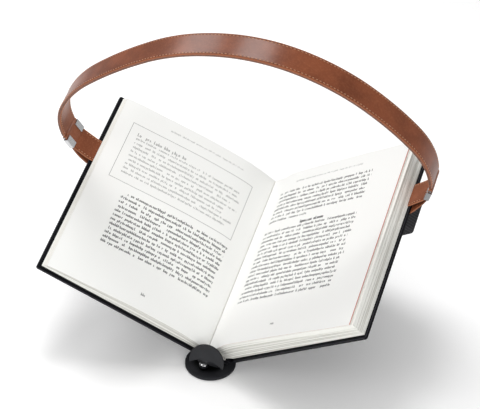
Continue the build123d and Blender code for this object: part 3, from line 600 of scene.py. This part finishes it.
def shaped(name, across, along, place, marks, materials, pick=None):
    """A closed piece: place(s, w, h) gives the world place for s and w from 0 to 1 and h 0 or 1.
    marks(s, w, h) is kept on the points, and pick(h) chooses the material of a face."""
    bm, kept = slab(across, along)
    if pick:
        for face in bm.faces:
            face.material_index = pick(face.calc_center_median().z)
    for v in bm.verts:
        s, w, h = v.co.x + 0.5, v.co.y + 0.5, v.co.z
        v[kept] = Vector(marks(s, w, h))
        v.co = place(s, w, h)
    bmesh.ops.recalc_face_normals(bm, faces=bm.faces[:])
    return finished(name, bm, materials)


def finished(name, bm, materials, smooth_angle=40.0):
    """A form as an object of the scene. Edges sharper than the angle stay crisp."""
    mesh = bpy.data.meshes.new(name)
    bm.to_mesh(mesh)
    bm.free()
    for m in materials:
        mesh.materials.append(m)
    made = bpy.data.objects.new(name, mesh)
    bpy.context.scene.collection.objects.link(made)
    mesh.set_sharp_from_angle(angle=radians(smooth_angle))
    return made


def smoothed(made):
    for polygon in made.data.polygons:
        polygon.use_smooth = True


def joined(forms):
    """Several forms as one."""
    whole = bmesh.new()
    for bm in forms:
        part = bpy.data.meshes.new("part")
        bm.to_mesh(part)
        bm.free()
        whole.from_mesh(part)
        bpy.data.meshes.remove(part)
    return whole


def bevelled(bm, chosen, width, segments):
    """Round the chosen edges of a form."""
    bmesh.ops.bevel(bm, geom=chosen, offset=width * MM, offset_type="OFFSET", segments=segments,
                    profile=0.5, affect="EDGES", material=-1, clamp_overlap=True)


def lengths_of(points):
    return [hypot(b[0] - a[0], b[1] - a[1]) for a, b in zip(points, points[1:])]


def line_at(points, share):
    """A place along a list of flat points, by share of its length, and the line's heading there."""
    lengths = lengths_of(points)
    target = share * sum(lengths)
    for a, b, length in zip(points, points[1:], lengths):
        if target <= length or b is points[-1]:
            part = min(1.0, target / length) if length else 0.0
            heading = (b[0] - a[0], b[1] - a[1])
            return (a[0] + heading[0] * part, a[1] + heading[1] * part), heading
        target -= length


def eased(points, radii, steps):
    """A flat line with its inner corners rounded, each to its own radius."""
    most = 0.48
    out = [points[0]]
    for a, b, c, radius in zip(points, points[1:], points[2:], radii):
        back = Vector((a[0] - b[0], a[1] - b[1]))
        ahead = Vector((c[0] - b[0], c[1] - b[1]))
        turn = pi - back.angle(ahead)
        cut = min(radius * tan(turn / 2), back.length * most, ahead.length * most)
        start, end = Vector(b) + back.normalized() * cut, Vector(b) + ahead.normalized() * cut
        for i in range(steps + 1):
            k = i / steps
            p = start * (1 - k) ** 2 + Vector(b) * 2 * k * (1 - k) + end * k ** 2
            out.append((p.x, p.y))
    out.append(points[-1])
    return out


# Covers: boards and spine in one skin of cloth, cut down the middle of the spine

def case_stations(side):
    """The outer and the inner place of the case at each step from the spine to the fore edge."""
    sign = SIGN[side]
    spine = [((sign * x, 0.0), (sign * x, BOARD)) for x in (0.0, 8.0, 15.5)]
    spine.append(((sign * 16.8, 0.12), (sign * 16.4, BOARD - 0.5)))
    spine.append(((sign * 17.2, 0.45), (sign * 16.9, 1.5)))
    groove = [((0.9, 0.6), (1.1, 1.3)), ((3.4, 0.85), (3.4, 1.45)), ((6.0, 0.6), (5.9, 1.3)),
              ((6.9, 0.35), (6.7, 1.9)), ((7.4, 0.1), (7.0, 2.7))]
    outer_start, inner_start, board_steps = 8.6, 7.8, 12
    board = []
    for i in range(board_steps + 1):
        outer = outer_start + (COVER_WIDTH - outer_start) * i / board_steps
        inner = inner_start + (COVER_WIDTH - inner_start) * i / board_steps
        board.append(((outer, 0.0), (inner, BOARD)))
    return spine + [(cover_flat(side, *outer), cover_flat(side, *inner)) for outer, inner in groove + board]


def case(side):
    """Half of the hard case, with a pressed groove along its hinge."""
    stations = case_stations(side)
    last = len(stations) - 1

    def place(s, w, h):
        outer, inner = stations[round(s * last)]
        x, z = inner if h > 0.5 else outer
        return book(x, w * COVER_HEIGHT, z)

    def marks(s, w, h):
        return (s * CASE_SPAN, w * COVER_HEIGHT, h)

    made = shaped(f"{side}_case", last, 10, place, marks, [cloth])
    bm = bmesh.new()
    bm.from_mesh(made.data)
    corners = [cover(side, COVER_WIDTH, y, BOARD / 2) for y in (0.0, COVER_HEIGHT)]
    corner_reach, corner_radius, edge_radius = 2.1 * MM, 2.2, 0.75
    folded, crisp = radians(55), radians(38)

    def at_corner(v):
        return min((v.co - corner).length for corner in corners) < corner_reach

    bevelled(bm, [e for e in bm.edges if all(at_corner(v) for v in e.verts)], corner_radius, 4)
    bevelled(bm, [e for e in bm.edges if e.is_manifold and e.calc_face_angle(0.0) > folded], edge_radius, 3)
    bm.to_mesh(made.data)
    bm.free()
    smoothed(made)
    made.data.set_sharp_from_angle(angle=crisp)
    replaced = [f"{side}_board", f"{side}_joint_cloth"] + (["spine_board"] if side == "right" else [])
    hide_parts(*replaced)
    cover(side, 7.5, MIDWAY, 1.5)
    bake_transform(made)


# Text block: gatherings that rise from the spine and lie over each cover

PAGE_LOW, PAGE_HIGH = 3.0, 232.0
PAGE_HEIGHT = PAGE_HIGH - PAGE_LOW
FORE = 193.0

# Height of the top sheet over the cover near the hinge and at the fore edge, and of the lowest sheet
INNER = {"left": 11.5, "right": 24.0}
OUTER = {"left": 10.5, "right": 22.0}
BED = {"left": 5.0, "right": 3.4}

# The arch of the open page, as shares of its width and of its height, from near the hinge outwards
ARCH_START = 2.0
ARCH_HEIGHT = {"left": 10.2, "right": 3.5}
ARCH = {
    "left": ((0.0, 0.0), (0.042, 0.45), (0.094, 0.66), (0.147, 0.86), (0.209, 0.96), (0.304, 1.0),
             (0.398, 1.0), (0.492, 0.93), (0.576, 0.81), (0.66, 0.69), (0.743, 0.55), (0.827, 0.44),
             (0.906, 0.3), (1.0, 0.0)),
    "right": ((0.0, 0.0), (0.052, 0.66), (0.115, 1.0), (0.25, 1.0), (0.345, 0.9), (0.44, 0.8),
              (0.518, 0.7), (0.607, 0.55), (0.69, 0.4), (0.775, 0.2), (0.86, 0.05), (1.0, 0.0)),
}

# Gatherings on each side, and where the lowest and the top sheet start across the spine
GATHERINGS = {"left": 7, "right": 14}
ROOT = {"left": (-14.6, -8.8), "right": (13.2, -8.6)}

# Random seeds, the gap above and below each gathering as a share of it, and how far each one on the
# left stands out at the fore edge
SEED = {"left": 11, "right": 23}
GATHERING_GAP = 0.09
LEFT_REACH = (-0.1, -0.4, -1.3, -2.2, -3.0, -3.8, -4.7)


def arch(side, u):
    """How far the open page stands off its straight line, on a smooth curve through the measured places."""
    share = min(1.0, max(0.0, (u - ARCH_START) / (FORE - ARCH_START)))
    places = ARCH[side]
    for i in range(len(places) - 1):
        if share <= places[i + 1][0]:
            break
    (x0, y0), (x1, y1) = places[i], places[i + 1]
    span = x1 - x0
    before = places[i - 1] if i else (x0 - span, y0 - (y1 - y0))
    after = places[i + 2] if i + 2 < len(places) else (x1 + span, y1 + (y1 - y0))
    m0 = (y1 - before[1]) / (x1 - before[0]) * span
    m1 = (after[1] - y0) / (after[0] - x0) * span
    q = (share - x0) / span
    height = ((2 * q ** 3 - 3 * q ** 2 + 1) * y0 + (q ** 3 - 2 * q ** 2 + q) * m0
              + (-2 * q ** 3 + 3 * q ** 2) * y1 + (q ** 3 - q ** 2) * m1)
    return ARCH_HEIGHT[side] * max(0.0, height)


def sheet_line(side, k):
    """The line of a sheet at level k, from 0 on the board to 1 on top. It rises from its root in the
    spine, bends over a knee at the hinge and lies along the cover to the fore edge."""
    bed = BED[side]
    inner = bed + (INNER[side] - bed) * k
    outer = bed + (OUTER[side] - bed) * k
    slope = (outer - inner) / (FORE - ARCH_START)
    a = OPENING[side]

    def over_cover(u):
        return cover_flat(side, u, inner + slope * (u - ARCH_START) + arch(side, u) * k)

    first_root, last_root = ROOT[side]
    root_z, farthest_knee_u, least_knee_z = 3.3, 0.5, 3.9 + 6.7 * k
    root = (first_root + (last_root - first_root) * k, root_z)
    knee_u = min((SIGN[side] * root[0] - HINGE + inner * sin(a)) / cos(a), farthest_knee_u)
    knee_x, knee_z = cover_flat(side, knee_u, inner)
    knee = (knee_x, max(knee_z, least_knee_z))
    points = []
    rise_points, steps_to_knee = 5, 4.5
    for i in range(rise_points):
        points.append(tuple(root[j] + (knee[j] - root[j]) * i / steps_to_knee for j in (0, 1)))
    bend_end = knee_u + 9.0 + 5.0 * k
    start, end = points[-1], over_cover(bend_end)
    bend_steps = 5
    for i in range(1, bend_steps + 1):
        q = i / bend_steps
        points.append(tuple(start[j] * (1 - q) ** 2 + knee[j] * 2 * q * (1 - q) + end[j] * q ** 2
                            for j in (0, 1)))
    cover_steps = 26
    for i in range(1, cover_steps + 1):
        points.append(over_cover(bend_end + (FORE - bend_end) * i / cover_steps))
    return points


def moved_on(line, out):
    """The end of a line, moved on by a length."""
    (x0, z0), (x1, z1) = line[-2:]
    length = hypot(x1 - x0, z1 - z0)
    return (x1 + (x1 - x0) / length * out, z1 + (z1 - z0) / length * out)


def page_mark(side, x, z):
    """u over the cover for a flat place, for the print."""
    a = OPENING[side]
    return (SIGN[side] * x - HINGE) * cos(a) + z * sin(a)


def gathering(side, number, reach, foot_in):
    """One gathering as a thin slab, counted from the board. reach is how far it stands out at the
    fore edge, and foot_in how much shorter it is at the tail."""
    count = GATHERINGS[side]
    low, high = number / count, (number + 1) / count
    gap = GATHERING_GAP / count
    levels = (low + gap, (low + gap) + (high - low - 2 * gap))
    lines = [sheet_line(side, k) for k in levels]
    on_top = number == count - 1
    stack = INNER[side] - 3.5
    columns, rows = len(lines[0]) - 1, 14
    bm, kept = slab(columns, rows)

    def out_at(w):
        """On the left a fifth less at the head; on the right the top gathering lies further in."""
        if side == "left":
            return reach * (1.0 - 0.2 * w)
        return reach - (2.0 + 2.0 * w if on_top else 0.0)

    for face in bm.faces:
        is_side = face.calc_center_median().z < 0.9
        face.material_index = 0 if is_side else (1 if on_top else 2)
    for v in bm.verts:
        column, w, top = round((v.co.x + 0.5) * columns), v.co.y + 0.5, round(v.co.z)
        x, z = lines[top][column]
        if column == columns:
            x, z = moved_on(lines[top], out_at(w))
        y = PAGE_LOW + foot_in + (PAGE_HEIGHT - foot_in) * w
        v[kept] = Vector((page_mark(side, x, z), y, levels[top] * stack))
        v.co = book(x, y, z)
    bmesh.ops.recalc_face_normals(bm, faces=bm.faces[:])
    return bm


def gatherings(side):
    """Every gathering of one half of the text block, in one piece."""
    chance = random.Random(SEED[side])
    forms = []
    for i in range(GATHERINGS[side]):
        reach = chance.uniform(-0.4, 0.3) + 1.0 + 0.6 * (1 - i / GATHERINGS[side])
        foot_in = chance.uniform(0.0, 0.35)
        forms.append(gathering(side, i, LEFT_REACH[i] if side == "left" else reach, foot_in))
    top_page = left_page if side == "left" else blank_page
    made = finished(f"{side}_text_block", joined(forms), [edges, top_page, blank_page])
    named = [f"{side}_pages", f"{side}_fold_pages"] + (["bound_pages"] if side == "right" else [])
    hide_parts(*named)
    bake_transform(made)


def shade_sheet():
    """A black sheet, loose between the left half of the text block and its board, put in as painted shade for
    the gap there.
    """
    first_u, last_u = 9.0, FORE - 1.0
    bottom, thick = 3.55, 1.15

    def place(s, w, h):
        u = first_u + (last_u - first_u) * s
        wave = 0.12 * sin(9.0 * s + 3.0 * w)
        return cover("left", u, PAGE_LOW - 0.4 + (PAGE_HEIGHT + 0.6) * w, bottom + wave + thick * h)

    paper = shade_sheet_paper("painted_shade_sheet_paper")
    made = shaped("painted_shade_sheet", 36, 10, place, lambda s, w, h: (s, w, h), [paper])
    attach(made, "left_cover")


def loose_leaf():
    """The first leaf on the right, printed on its upper side, plain paper below, with a red rim at its fore
    edge.
    """
    lift, thick = 0.45, 0.16
    first_u, tuck_u = -13.7, -10.5

    def surface(s, w):
        last_u = FORE - 0.8 - 2.3 * w
        u = first_u + (last_u - first_u) * s
        slope = (OUTER["right"] - INNER["right"]) / (FORE - ARCH_START)
        tucked = 0.07 * max(0.0, tuck_u - u) ** 2
        return u, INNER["right"] + slope * (u - ARCH_START) + arch("right", u) + lift - tucked

    def place(s, w, h):
        u, t = surface(s, w)
        return cover("right", u, PAGE_LOW + PAGE_HEIGHT * w, t + thick * h)

    def marks(s, w, h):
        u = surface(s, w)[0]
        return (u, PAGE_LOW + PAGE_HEIGHT * w, surface(1.0, w)[0] - u)

    def pick(h):
        return 0 if h > 0.9 else (1 if h < 0.1 else 2)

    rim = red_paper("leaf_red_rim")
    made = shaped("loose_leaf", 40, 16, place, marks, [right_page, blank_page, rim], pick)
    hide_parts("turning_leaf")
    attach(made, "leaf")


# Strap

STRAP_WIDTH = 28.0
HALF_STRAP = 1.8
TAB_Y = {"left": 157.0, "right": 173.0}

# Each clasp's place over its cover and its lean, and how far along it the pin sits
CLASP = {"left": (225.0, 12.4, radians(36.0)), "right": (226.8, 10.4, radians(36.0))}
PIN_OFFSET = 8.8

# The radius of the tab's loop round the pin, and how far from each pin the strap's leather stops
LOOP_RADIUS = 2.6
END_GAP = {"left": LOOP_RADIUS + 0.9, "right": LOOP_RADIUS + 2.4}


def clasp_at(side, along, above=0.0):
    """A place in a clasp, as (u, t) over its cover."""
    u, t, a = CLASP[side]
    return (u + along * cos(a) - above * sin(a), t + along * sin(a) + above * cos(a))


PIN = {side: cover_flat(side, *clasp_at(side, PIN_OFFSET)) for side in ("left", "right")}
LEFT_HAUNCH = (PIN["left"][0] + 44.6, PIN["left"][1] + 100.1)
RIGHT_HAUNCH = (PIN["right"][0] - 65.7, PIN["right"][1] + 112.8)
CROWN = ((PIN["left"][0] + PIN["right"][0]) / 2 + 1.0, (PIN["left"][1] + PIN["right"][1]) / 2 + 168.1)


def arc_from(start, tangent, end):
    """The arc that leaves a place along a tangent and turns clockwise to its end."""
    normal = (tangent[1], -tangent[0])
    chord = (end[0] - start[0], end[1] - start[1])
    radius = (chord[0] ** 2 + chord[1] ** 2) / (2 * (normal[0] * chord[0] + normal[1] * chord[1]))
    centre = (start[0] + radius * normal[0], start[1] + radius * normal[1])
    first = atan2(start[1] - centre[1], start[0] - centre[0])
    last = atan2(end[1] - centre[1], end[0] - centre[0])
    return centre, radius, first, last - 2 * pi if last > first else last


def two_arcs(start, heading, end, end_heading):
    """Two arcs that meet smoothly and keep both headings, in degrees."""
    t0, t1 = [(cos(radians(a)), sin(radians(a))) for a in (heading, end_heading)]
    v = (end[0] - start[0], end[1] - start[1])
    along = v[0] * (t0[0] + t1[0]) + v[1] * (t0[1] + t1[1])
    spread = 2 * (1 - t0[0] * t1[0] - t0[1] * t1[1])
    reach = (-along + sqrt(along ** 2 + spread * (v[0] ** 2 + v[1] ** 2))) / spread
    middle = tuple((start[i] + end[i] + reach * (t0[i] - t1[i])) / 2 for i in (0, 1))
    first = arc_from(start, t0, middle)
    return [first, arc_from(middle, (sin(first[3]), -cos(first[3])), end)]


# The strap's line, by the places it goes through and its heading at each
COURSE = (
    (PIN["left"], 101.0),
    (LEFT_HAUNCH, 41.5),
    (CROWN, 6.0),
    (RIGHT_HAUNCH, -40.0),
    (PIN["right"], -93.0),
)
ARCS = [arc for start, end in zip(COURSE, COURSE[1:]) for arc in two_arcs(*start, *end)]
ARC_LENGTHS = [radius * (first - last) for _, radius, first, last in ARCS]
STRAP_LENGTH = sum(ARC_LENGTHS)
ARCS_TO_CROWN = 4
TO_CROWN = sum(ARC_LENGTHS[:ARCS_TO_CROWN])
SKEW = atan2(TAB_Y["right"] - TAB_Y["left"], PIN["right"][0] - PIN["left"][0])


def strap_at(distance, offset):
    """A place off the strap's line, at a distance from the left pin, as (x, z) of the book's frame."""
    for i, (centre, radius, first, last) in enumerate(ARCS):
        length = ARC_LENGTHS[i]
        if distance <= length + 1e-9 or i == len(ARCS) - 1:
            a = first + (last - first) * min(1.0, distance / length)
            return (centre[0] + (radius + offset) * cos(a), centre[1] + (radius + offset) * sin(a))
        distance -= length


def strap_place(distance, share, offset):
    """A place in the world, at a share of the strap's width from its middle line."""
    x, z = strap_at(distance, offset)
    middle_x = (PIN["right"][0] + PIN["left"][0]) / 2
    middle_y = (TAB_Y["left"] + TAB_Y["right"]) / 2 + (x - middle_x) * tan(SKEW)
    return book(x, middle_y + share * STRAP_WIDTH / cos(SKEW), z)


# Width and depth of the rounding along the long edges of the leather
STRAP_ROUNDING = (0.9, 0.55)
TAB_ROUNDING = (0.8, 0.45)


def rounding(w, width, depth):
    """How far a leather face sinks at w across it."""
    near = min(w, 1 - w) * STRAP_WIDTH
    return 0.0 if near > width else depth * (1 - sqrt(max(0.0, 1 - ((width - near) / width) ** 2)))


def face_or_edge(h):
    """0 for the two faces of a strip of leather, 1 for its cut edges."""
    return 1 if 0.1 < h < 0.9 else 0


def strap_layer(name, low, high, finish, outside):
    """One leather layer of the strap, full length, with its visible face rounded at the edges."""
    start, end = END_GAP["left"] + 0.2, STRAP_LENGTH - END_GAP["right"] - 0.2

    def crowded(w):
        """Rows crowd towards the two edges."""
        k = 2 * w - 1
        return 0.5 + 0.5 * (1 if k >= 0 else -1) * (1 - (1 - abs(k)) ** 1.6)

    def place(s, w, h):
        w = crowded(w)
        sunk = rounding(w, *STRAP_ROUNDING)
        if h > 0.5:
            offset = high - (sunk if outside else 0.0)
        else:
            offset = low + (0.0 if outside else sunk)
        return strap_place(start + (end - start) * s, w - 0.5, offset)

    def marks(s, w, h):
        return (s * STRAP_LENGTH, abs(2 * crowded(w) - 1), h)

    return shaped(name, 170, 12, place, marks, [finish, strap_edge], face_or_edge)


# Stitches: pitch, length and radius, where their two rows run across the leather, how far they stand off
STRAP_STITCH = (3.7, 2.5, 0.42)
TAB_STITCH = (3.6, 2.4, 0.4)
STITCH_ROWS = (-0.415, 0.415)
STITCH_LIFT = 0.02


def stitch_row(share, offset, outward, start, end, stitch, place_at):
    """A row of stitches, each a small rounded bar sunk half into the leather."""
    pitch, length, radius = stitch
    forms = []
    count = int((end - start) / pitch)
    for i in range(count):
        at = start + (i + 0.5) * (end - start) / count
        bm = bmesh.new()
        bmesh.ops.create_uvsphere(bm, u_segments=6, v_segments=4, radius=1.0)
        a, b = [place_at(at + half, share, offset) for half in (-length / 2, length / 2)]
        middle = (a + b) / 2
        run = (b - a).normalized()
        up = place_at(at, share, offset + outward) - middle
        up = (up - run * up.dot(run)).normalized()
        across = run.cross(up)
        basis = Matrix((run * length * MM / 2, across * radius * MM, up * radius * MM)).transposed().to_4x4()
        bmesh.ops.transform(bm, matrix=Matrix.Translation(middle) @ basis, verts=bm.verts[:])
        forms.append(bm)
    return forms


def sewn(name, forms):
    """Rows of stitches as one piece of thread."""
    made = finished(name, joined(forms), [thread], 180.0)
    smoothed(made)
    return made


def strap():
    """Two layers of leather and their stitches, each layer in one piece over the crown."""
    layer_gap, seam_inset, half_bend = 0.05, 2.5, 8.0
    outer = strap_layer("strap_outer_skin", layer_gap, HALF_STRAP, outer_leather, True)
    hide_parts("strap_outer_left", "strap_outer_right")
    lining = strap_layer("strap_lining_skin", -HALF_STRAP, -layer_gap, lining_leather, False)
    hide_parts("strap_lining_left", "strap_lining_right")
    first, last = END_GAP["left"] + seam_inset, STRAP_LENGTH - END_GAP["right"] - seam_inset
    forms = []
    for share in STITCH_ROWS:
        for outward in (1.0, -1.0):
            offset = outward * (HALF_STRAP + STITCH_LIFT)
            forms += stitch_row(share, offset, outward, first, last, STRAP_STITCH, strap_place)
    stitches = sewn("strap_stitches", forms)
    bend_start, bend_end = [strap_place(TO_CROWN + away, 0.0, 0.0) for away in (-half_bend, half_bend)]
    for piece in (outer, lining, stitches):
        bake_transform(piece)


# Tabs: one strip of leather folded round the clasp pin, its ends before and behind the cover

TAB_THICK = 1.6
HALF_TAB = TAB_THICK / 2
TAB_OVERLAP = 27.0

# Where the strip enters the clasp and where it stops, and how far off its middle each side lies
ENTRY, STOP, LAYER = -8.5, 6.1, 0.9
SLANT = {"left": radians(8.0), "right": radians(15.0)}
BULGE = {"left": 1.5, "right": 0.6}


def tab_line(side):
    """The strip's line as (u, t) over the cover: front, loop round the pin, back."""
    start, bend = COVER_WIDTH - TAB_OVERLAP, COVER_WIDTH + 2.0
    front = [(start, BOARD + HALF_TAB), (bend, BOARD + HALF_TAB)]
    front += [clasp_at(side, ENTRY, LAYER), clasp_at(side, STOP, LAYER)]
    turn = clasp_at(side, ENTRY, -LAYER)
    out = Vector((turn[0] - bend, turn[1] + HALF_TAB))
    bulge = Vector((out.y, -out.x)).normalized() * BULGE[side]
    back = [(start, -HALF_TAB), (bend, -HALF_TAB)]
    for k in (0.3, 0.5, 0.7):
        back.append((bend + out.x * k + bulge.x * sin(pi * k), -HALF_TAB + out.y * k + bulge.y * sin(pi * k)))
    back += [turn, clasp_at(side, STOP, -LAYER)]
    front = eased(front, (14.0, 5.0), 7)
    back = eased(back, (8.0, 12.0, 20.0, 12.0, 5.0), 5)
    loop = []
    loop_steps = 16
    first = 0.82 * pi
    radius = LOOP_RADIUS - HALF_TAB
    for i in range(loop_steps + 1):
        a = first - 2 * first * i / loop_steps
        loop.append(clasp_at(side, PIN_OFFSET + radius * cos(a), radius * sin(a)))
    return front + loop + back[::-1]


def tab(side):
    """The tab of one side with its stitches."""
    line = tab_line(side)
    total = sum(lengths_of(line))
    turn_u = clasp_at(side, ENTRY)[0]

    def place_at(distance, share, offset):
        """A place off the strip. Its middle slants towards the tail behind the cover."""
        (u, t), (du, dt) = line_at(line, distance / total)
        norm = hypot(du, dt)
        u, t = u - dt / norm * offset, t + du / norm * offset
        behind = max(0.0, turn_u - u) if distance > total / 2 else 0.0
        return cover(side, u, TAB_Y[side] - behind * tan(SLANT[side]) + share * STRAP_WIDTH, t)

    def place(s, w, h):
        offset = (HALF_TAB - rounding(w, *TAB_ROUNDING)) * (1 if h > 0.5 else -1)
        return place_at(s * total, w - 0.5, offset)

    def marks(s, w, h):
        return (s * total, abs(2 * w - 1), h)

    made = shaped(f"{side}_tab", 90, 8, place, marks, [tab_leather, strap_edge], face_or_edge)
    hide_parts(f"{side}_tab_front", f"{side}_tab_back", f"{side}_roll")
    seam_start, seam_end = 3.0, 44.0
    forms = []
    for share in STITCH_ROWS:
        for first, last in ((seam_start, seam_end), (total - seam_end, total - seam_start)):
            forms += stitch_row(share, HALF_TAB + STITCH_LIFT, 1.0, first, last, TAB_STITCH, place_at)
    stitches = sewn(f"{side}_tab_stitches", forms)
    for piece in (made, stitches):
        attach(piece, f"{side}_cover")


# Build

for side in ("left", "right"):
    case(side)
    gatherings(side)
    tab(side)
shade_sheet()
loose_leaf()
strap()


# Floor, light and camera

def floor():
    """A white floor. To the camera it glows a little too, but less near the foot and left of it."""
    f = Finish("studio_floor", (0.95, 0.95, 0.95), 0.9, Specular_IOR_Level=0.0)
    path = f.node("ShaderNodeLightPath").socket.node
    rays = ("Is Camera Ray", "Is Glossy Ray", "Is Transmission Ray")
    camera, glossy, through = [Field(f, path.outputs[name]) for name in rays]
    seen = camera.larger(glossy).larger(through)
    x, y = f.axes(f.place())[:2]

    def away_from(spot_x, spot_y):
        return ((x - spot_x) * (x - spot_x) + (y - spot_y) * (y - spot_y)).root()

    off_foot = away_from(60.0, 60.0).ramp(20.0, 240.0)
    off_left = away_from(-108.0, -2.0).ramp(35.0, 110.0)
    glow_color = f.blend(off_foot.smaller(off_left), (0.1, 0.1, 0.1), (1.0, 1.0, 1.0))
    glow = f.node("ShaderNodeEmission", {}, {"Color": glow_color, "Strength": 0.26})
    plain = Field(f, f.shader.outputs[0])
    both = f.node("ShaderNodeAddShader", {}, {0: plain, 1: glow})
    shown = f.node("ShaderNodeMixShader", {}, {"Fac": seen, 1: plain, 2: both})
    f.connect(f.output.inputs["Surface"], shown)
    bm = bmesh.new()
    bmesh.ops.create_grid(bm, x_segments=1, y_segments=1, size=6.0)
    made = finished("studio_floor", bm, [f.material])


# Name, place, aim, width and power of each lamp
LAMPS = (
    ("back_window", (-0.95, 0.5, 1.3), (0.0, 0.05, 0.15), 0.6, 6.6),
    ("roof_window", (-0.23, 0.4, 1.7), (0.0, 0.08, 0.1), 0.56, 8.6),
    ("right_window", (1.05, -0.95, 0.6), (0.0, 0.05, 0.15), 0.7, 6.4),
    ("left_window", (-1.0, -1.0, 1.1), (0.0, 0.05, 0.15), 0.9, 4.0),
    ("front_window", (0.1, -1.7, 0.6), (0.0, 0.05, 0.12), 0.9, 7.6),
)


def lamp(name, place, target, size, power):
    light = bpy.data.lights.new(name, "AREA")
    light.shape = "DISK"
    light.size = size
    light.energy = power
    made = bpy.data.objects.new(name, light)
    made.location = place
    made.rotation_mode = "QUATERNION"
    made.rotation_quaternion = (Vector(target) - Vector(place)).to_track_quat("-Z", "Y")
    bpy.context.scene.collection.objects.link(made)


def sky():
    """White behind the book for the camera, and a dimmer light from all around."""
    ambient_strength = 0.32
    world = bpy.data.worlds.new("studio_air")
    bpy.context.scene.world = world
    world.use_nodes = True
    tree = world.node_tree
    tree.nodes.clear()
    path = tree.nodes.new("ShaderNodeLightPath")
    mix = tree.nodes.new("ShaderNodeMixShader")
    tree.links.new(path.outputs["Is Camera Ray"], mix.inputs["Fac"])
    for slot, strength in ((1, ambient_strength), (2, 1.0)):
        background = tree.nodes.new("ShaderNodeBackground")
        background.inputs["Color"].default_value = (1, 1, 1, 1)
        background.inputs["Strength"].default_value = strength
        tree.links.new(background.outputs[0], mix.inputs[slot])
    out = tree.nodes.new("ShaderNodeOutputWorld")
    tree.links.new(mix.outputs[0], out.inputs["Surface"])


# The camera that was solved from the photo: place in metres, turn about x, y and z in degrees, and
# focal length and width of the picture in pixels
CAMERA_PLACE = (0.4063, -1.0832, 1.0561)
CAMERA_TURN = (53.8036, -1.0007, 19.9223)
FOCAL_LENGTH = 1467.8
PHOTO_WIDTH = 480.0
SENSOR_WIDTH = 36.0


def viewpoint():
    data = bpy.data.cameras.new("viewpoint")
    data.sensor_width = SENSOR_WIDTH
    data.lens = FOCAL_LENGTH / PHOTO_WIDTH * SENSOR_WIDTH
    data.clip_start, data.clip_end = 0.05, 30.0
    made = bpy.data.objects.new("viewpoint", data)
    turn = Euler([radians(a) for a in CAMERA_TURN])
    made.matrix_world = Matrix.Translation(CAMERA_PLACE) @ turn.to_matrix().to_4x4()
    bpy.context.scene.collection.objects.link(made)
    bpy.context.scene.camera = made


floor()
sky()
for settings in LAMPS:
    lamp(*settings)
viewpoint()
bpy.context.scene.view_settings.view_transform = "Standard"
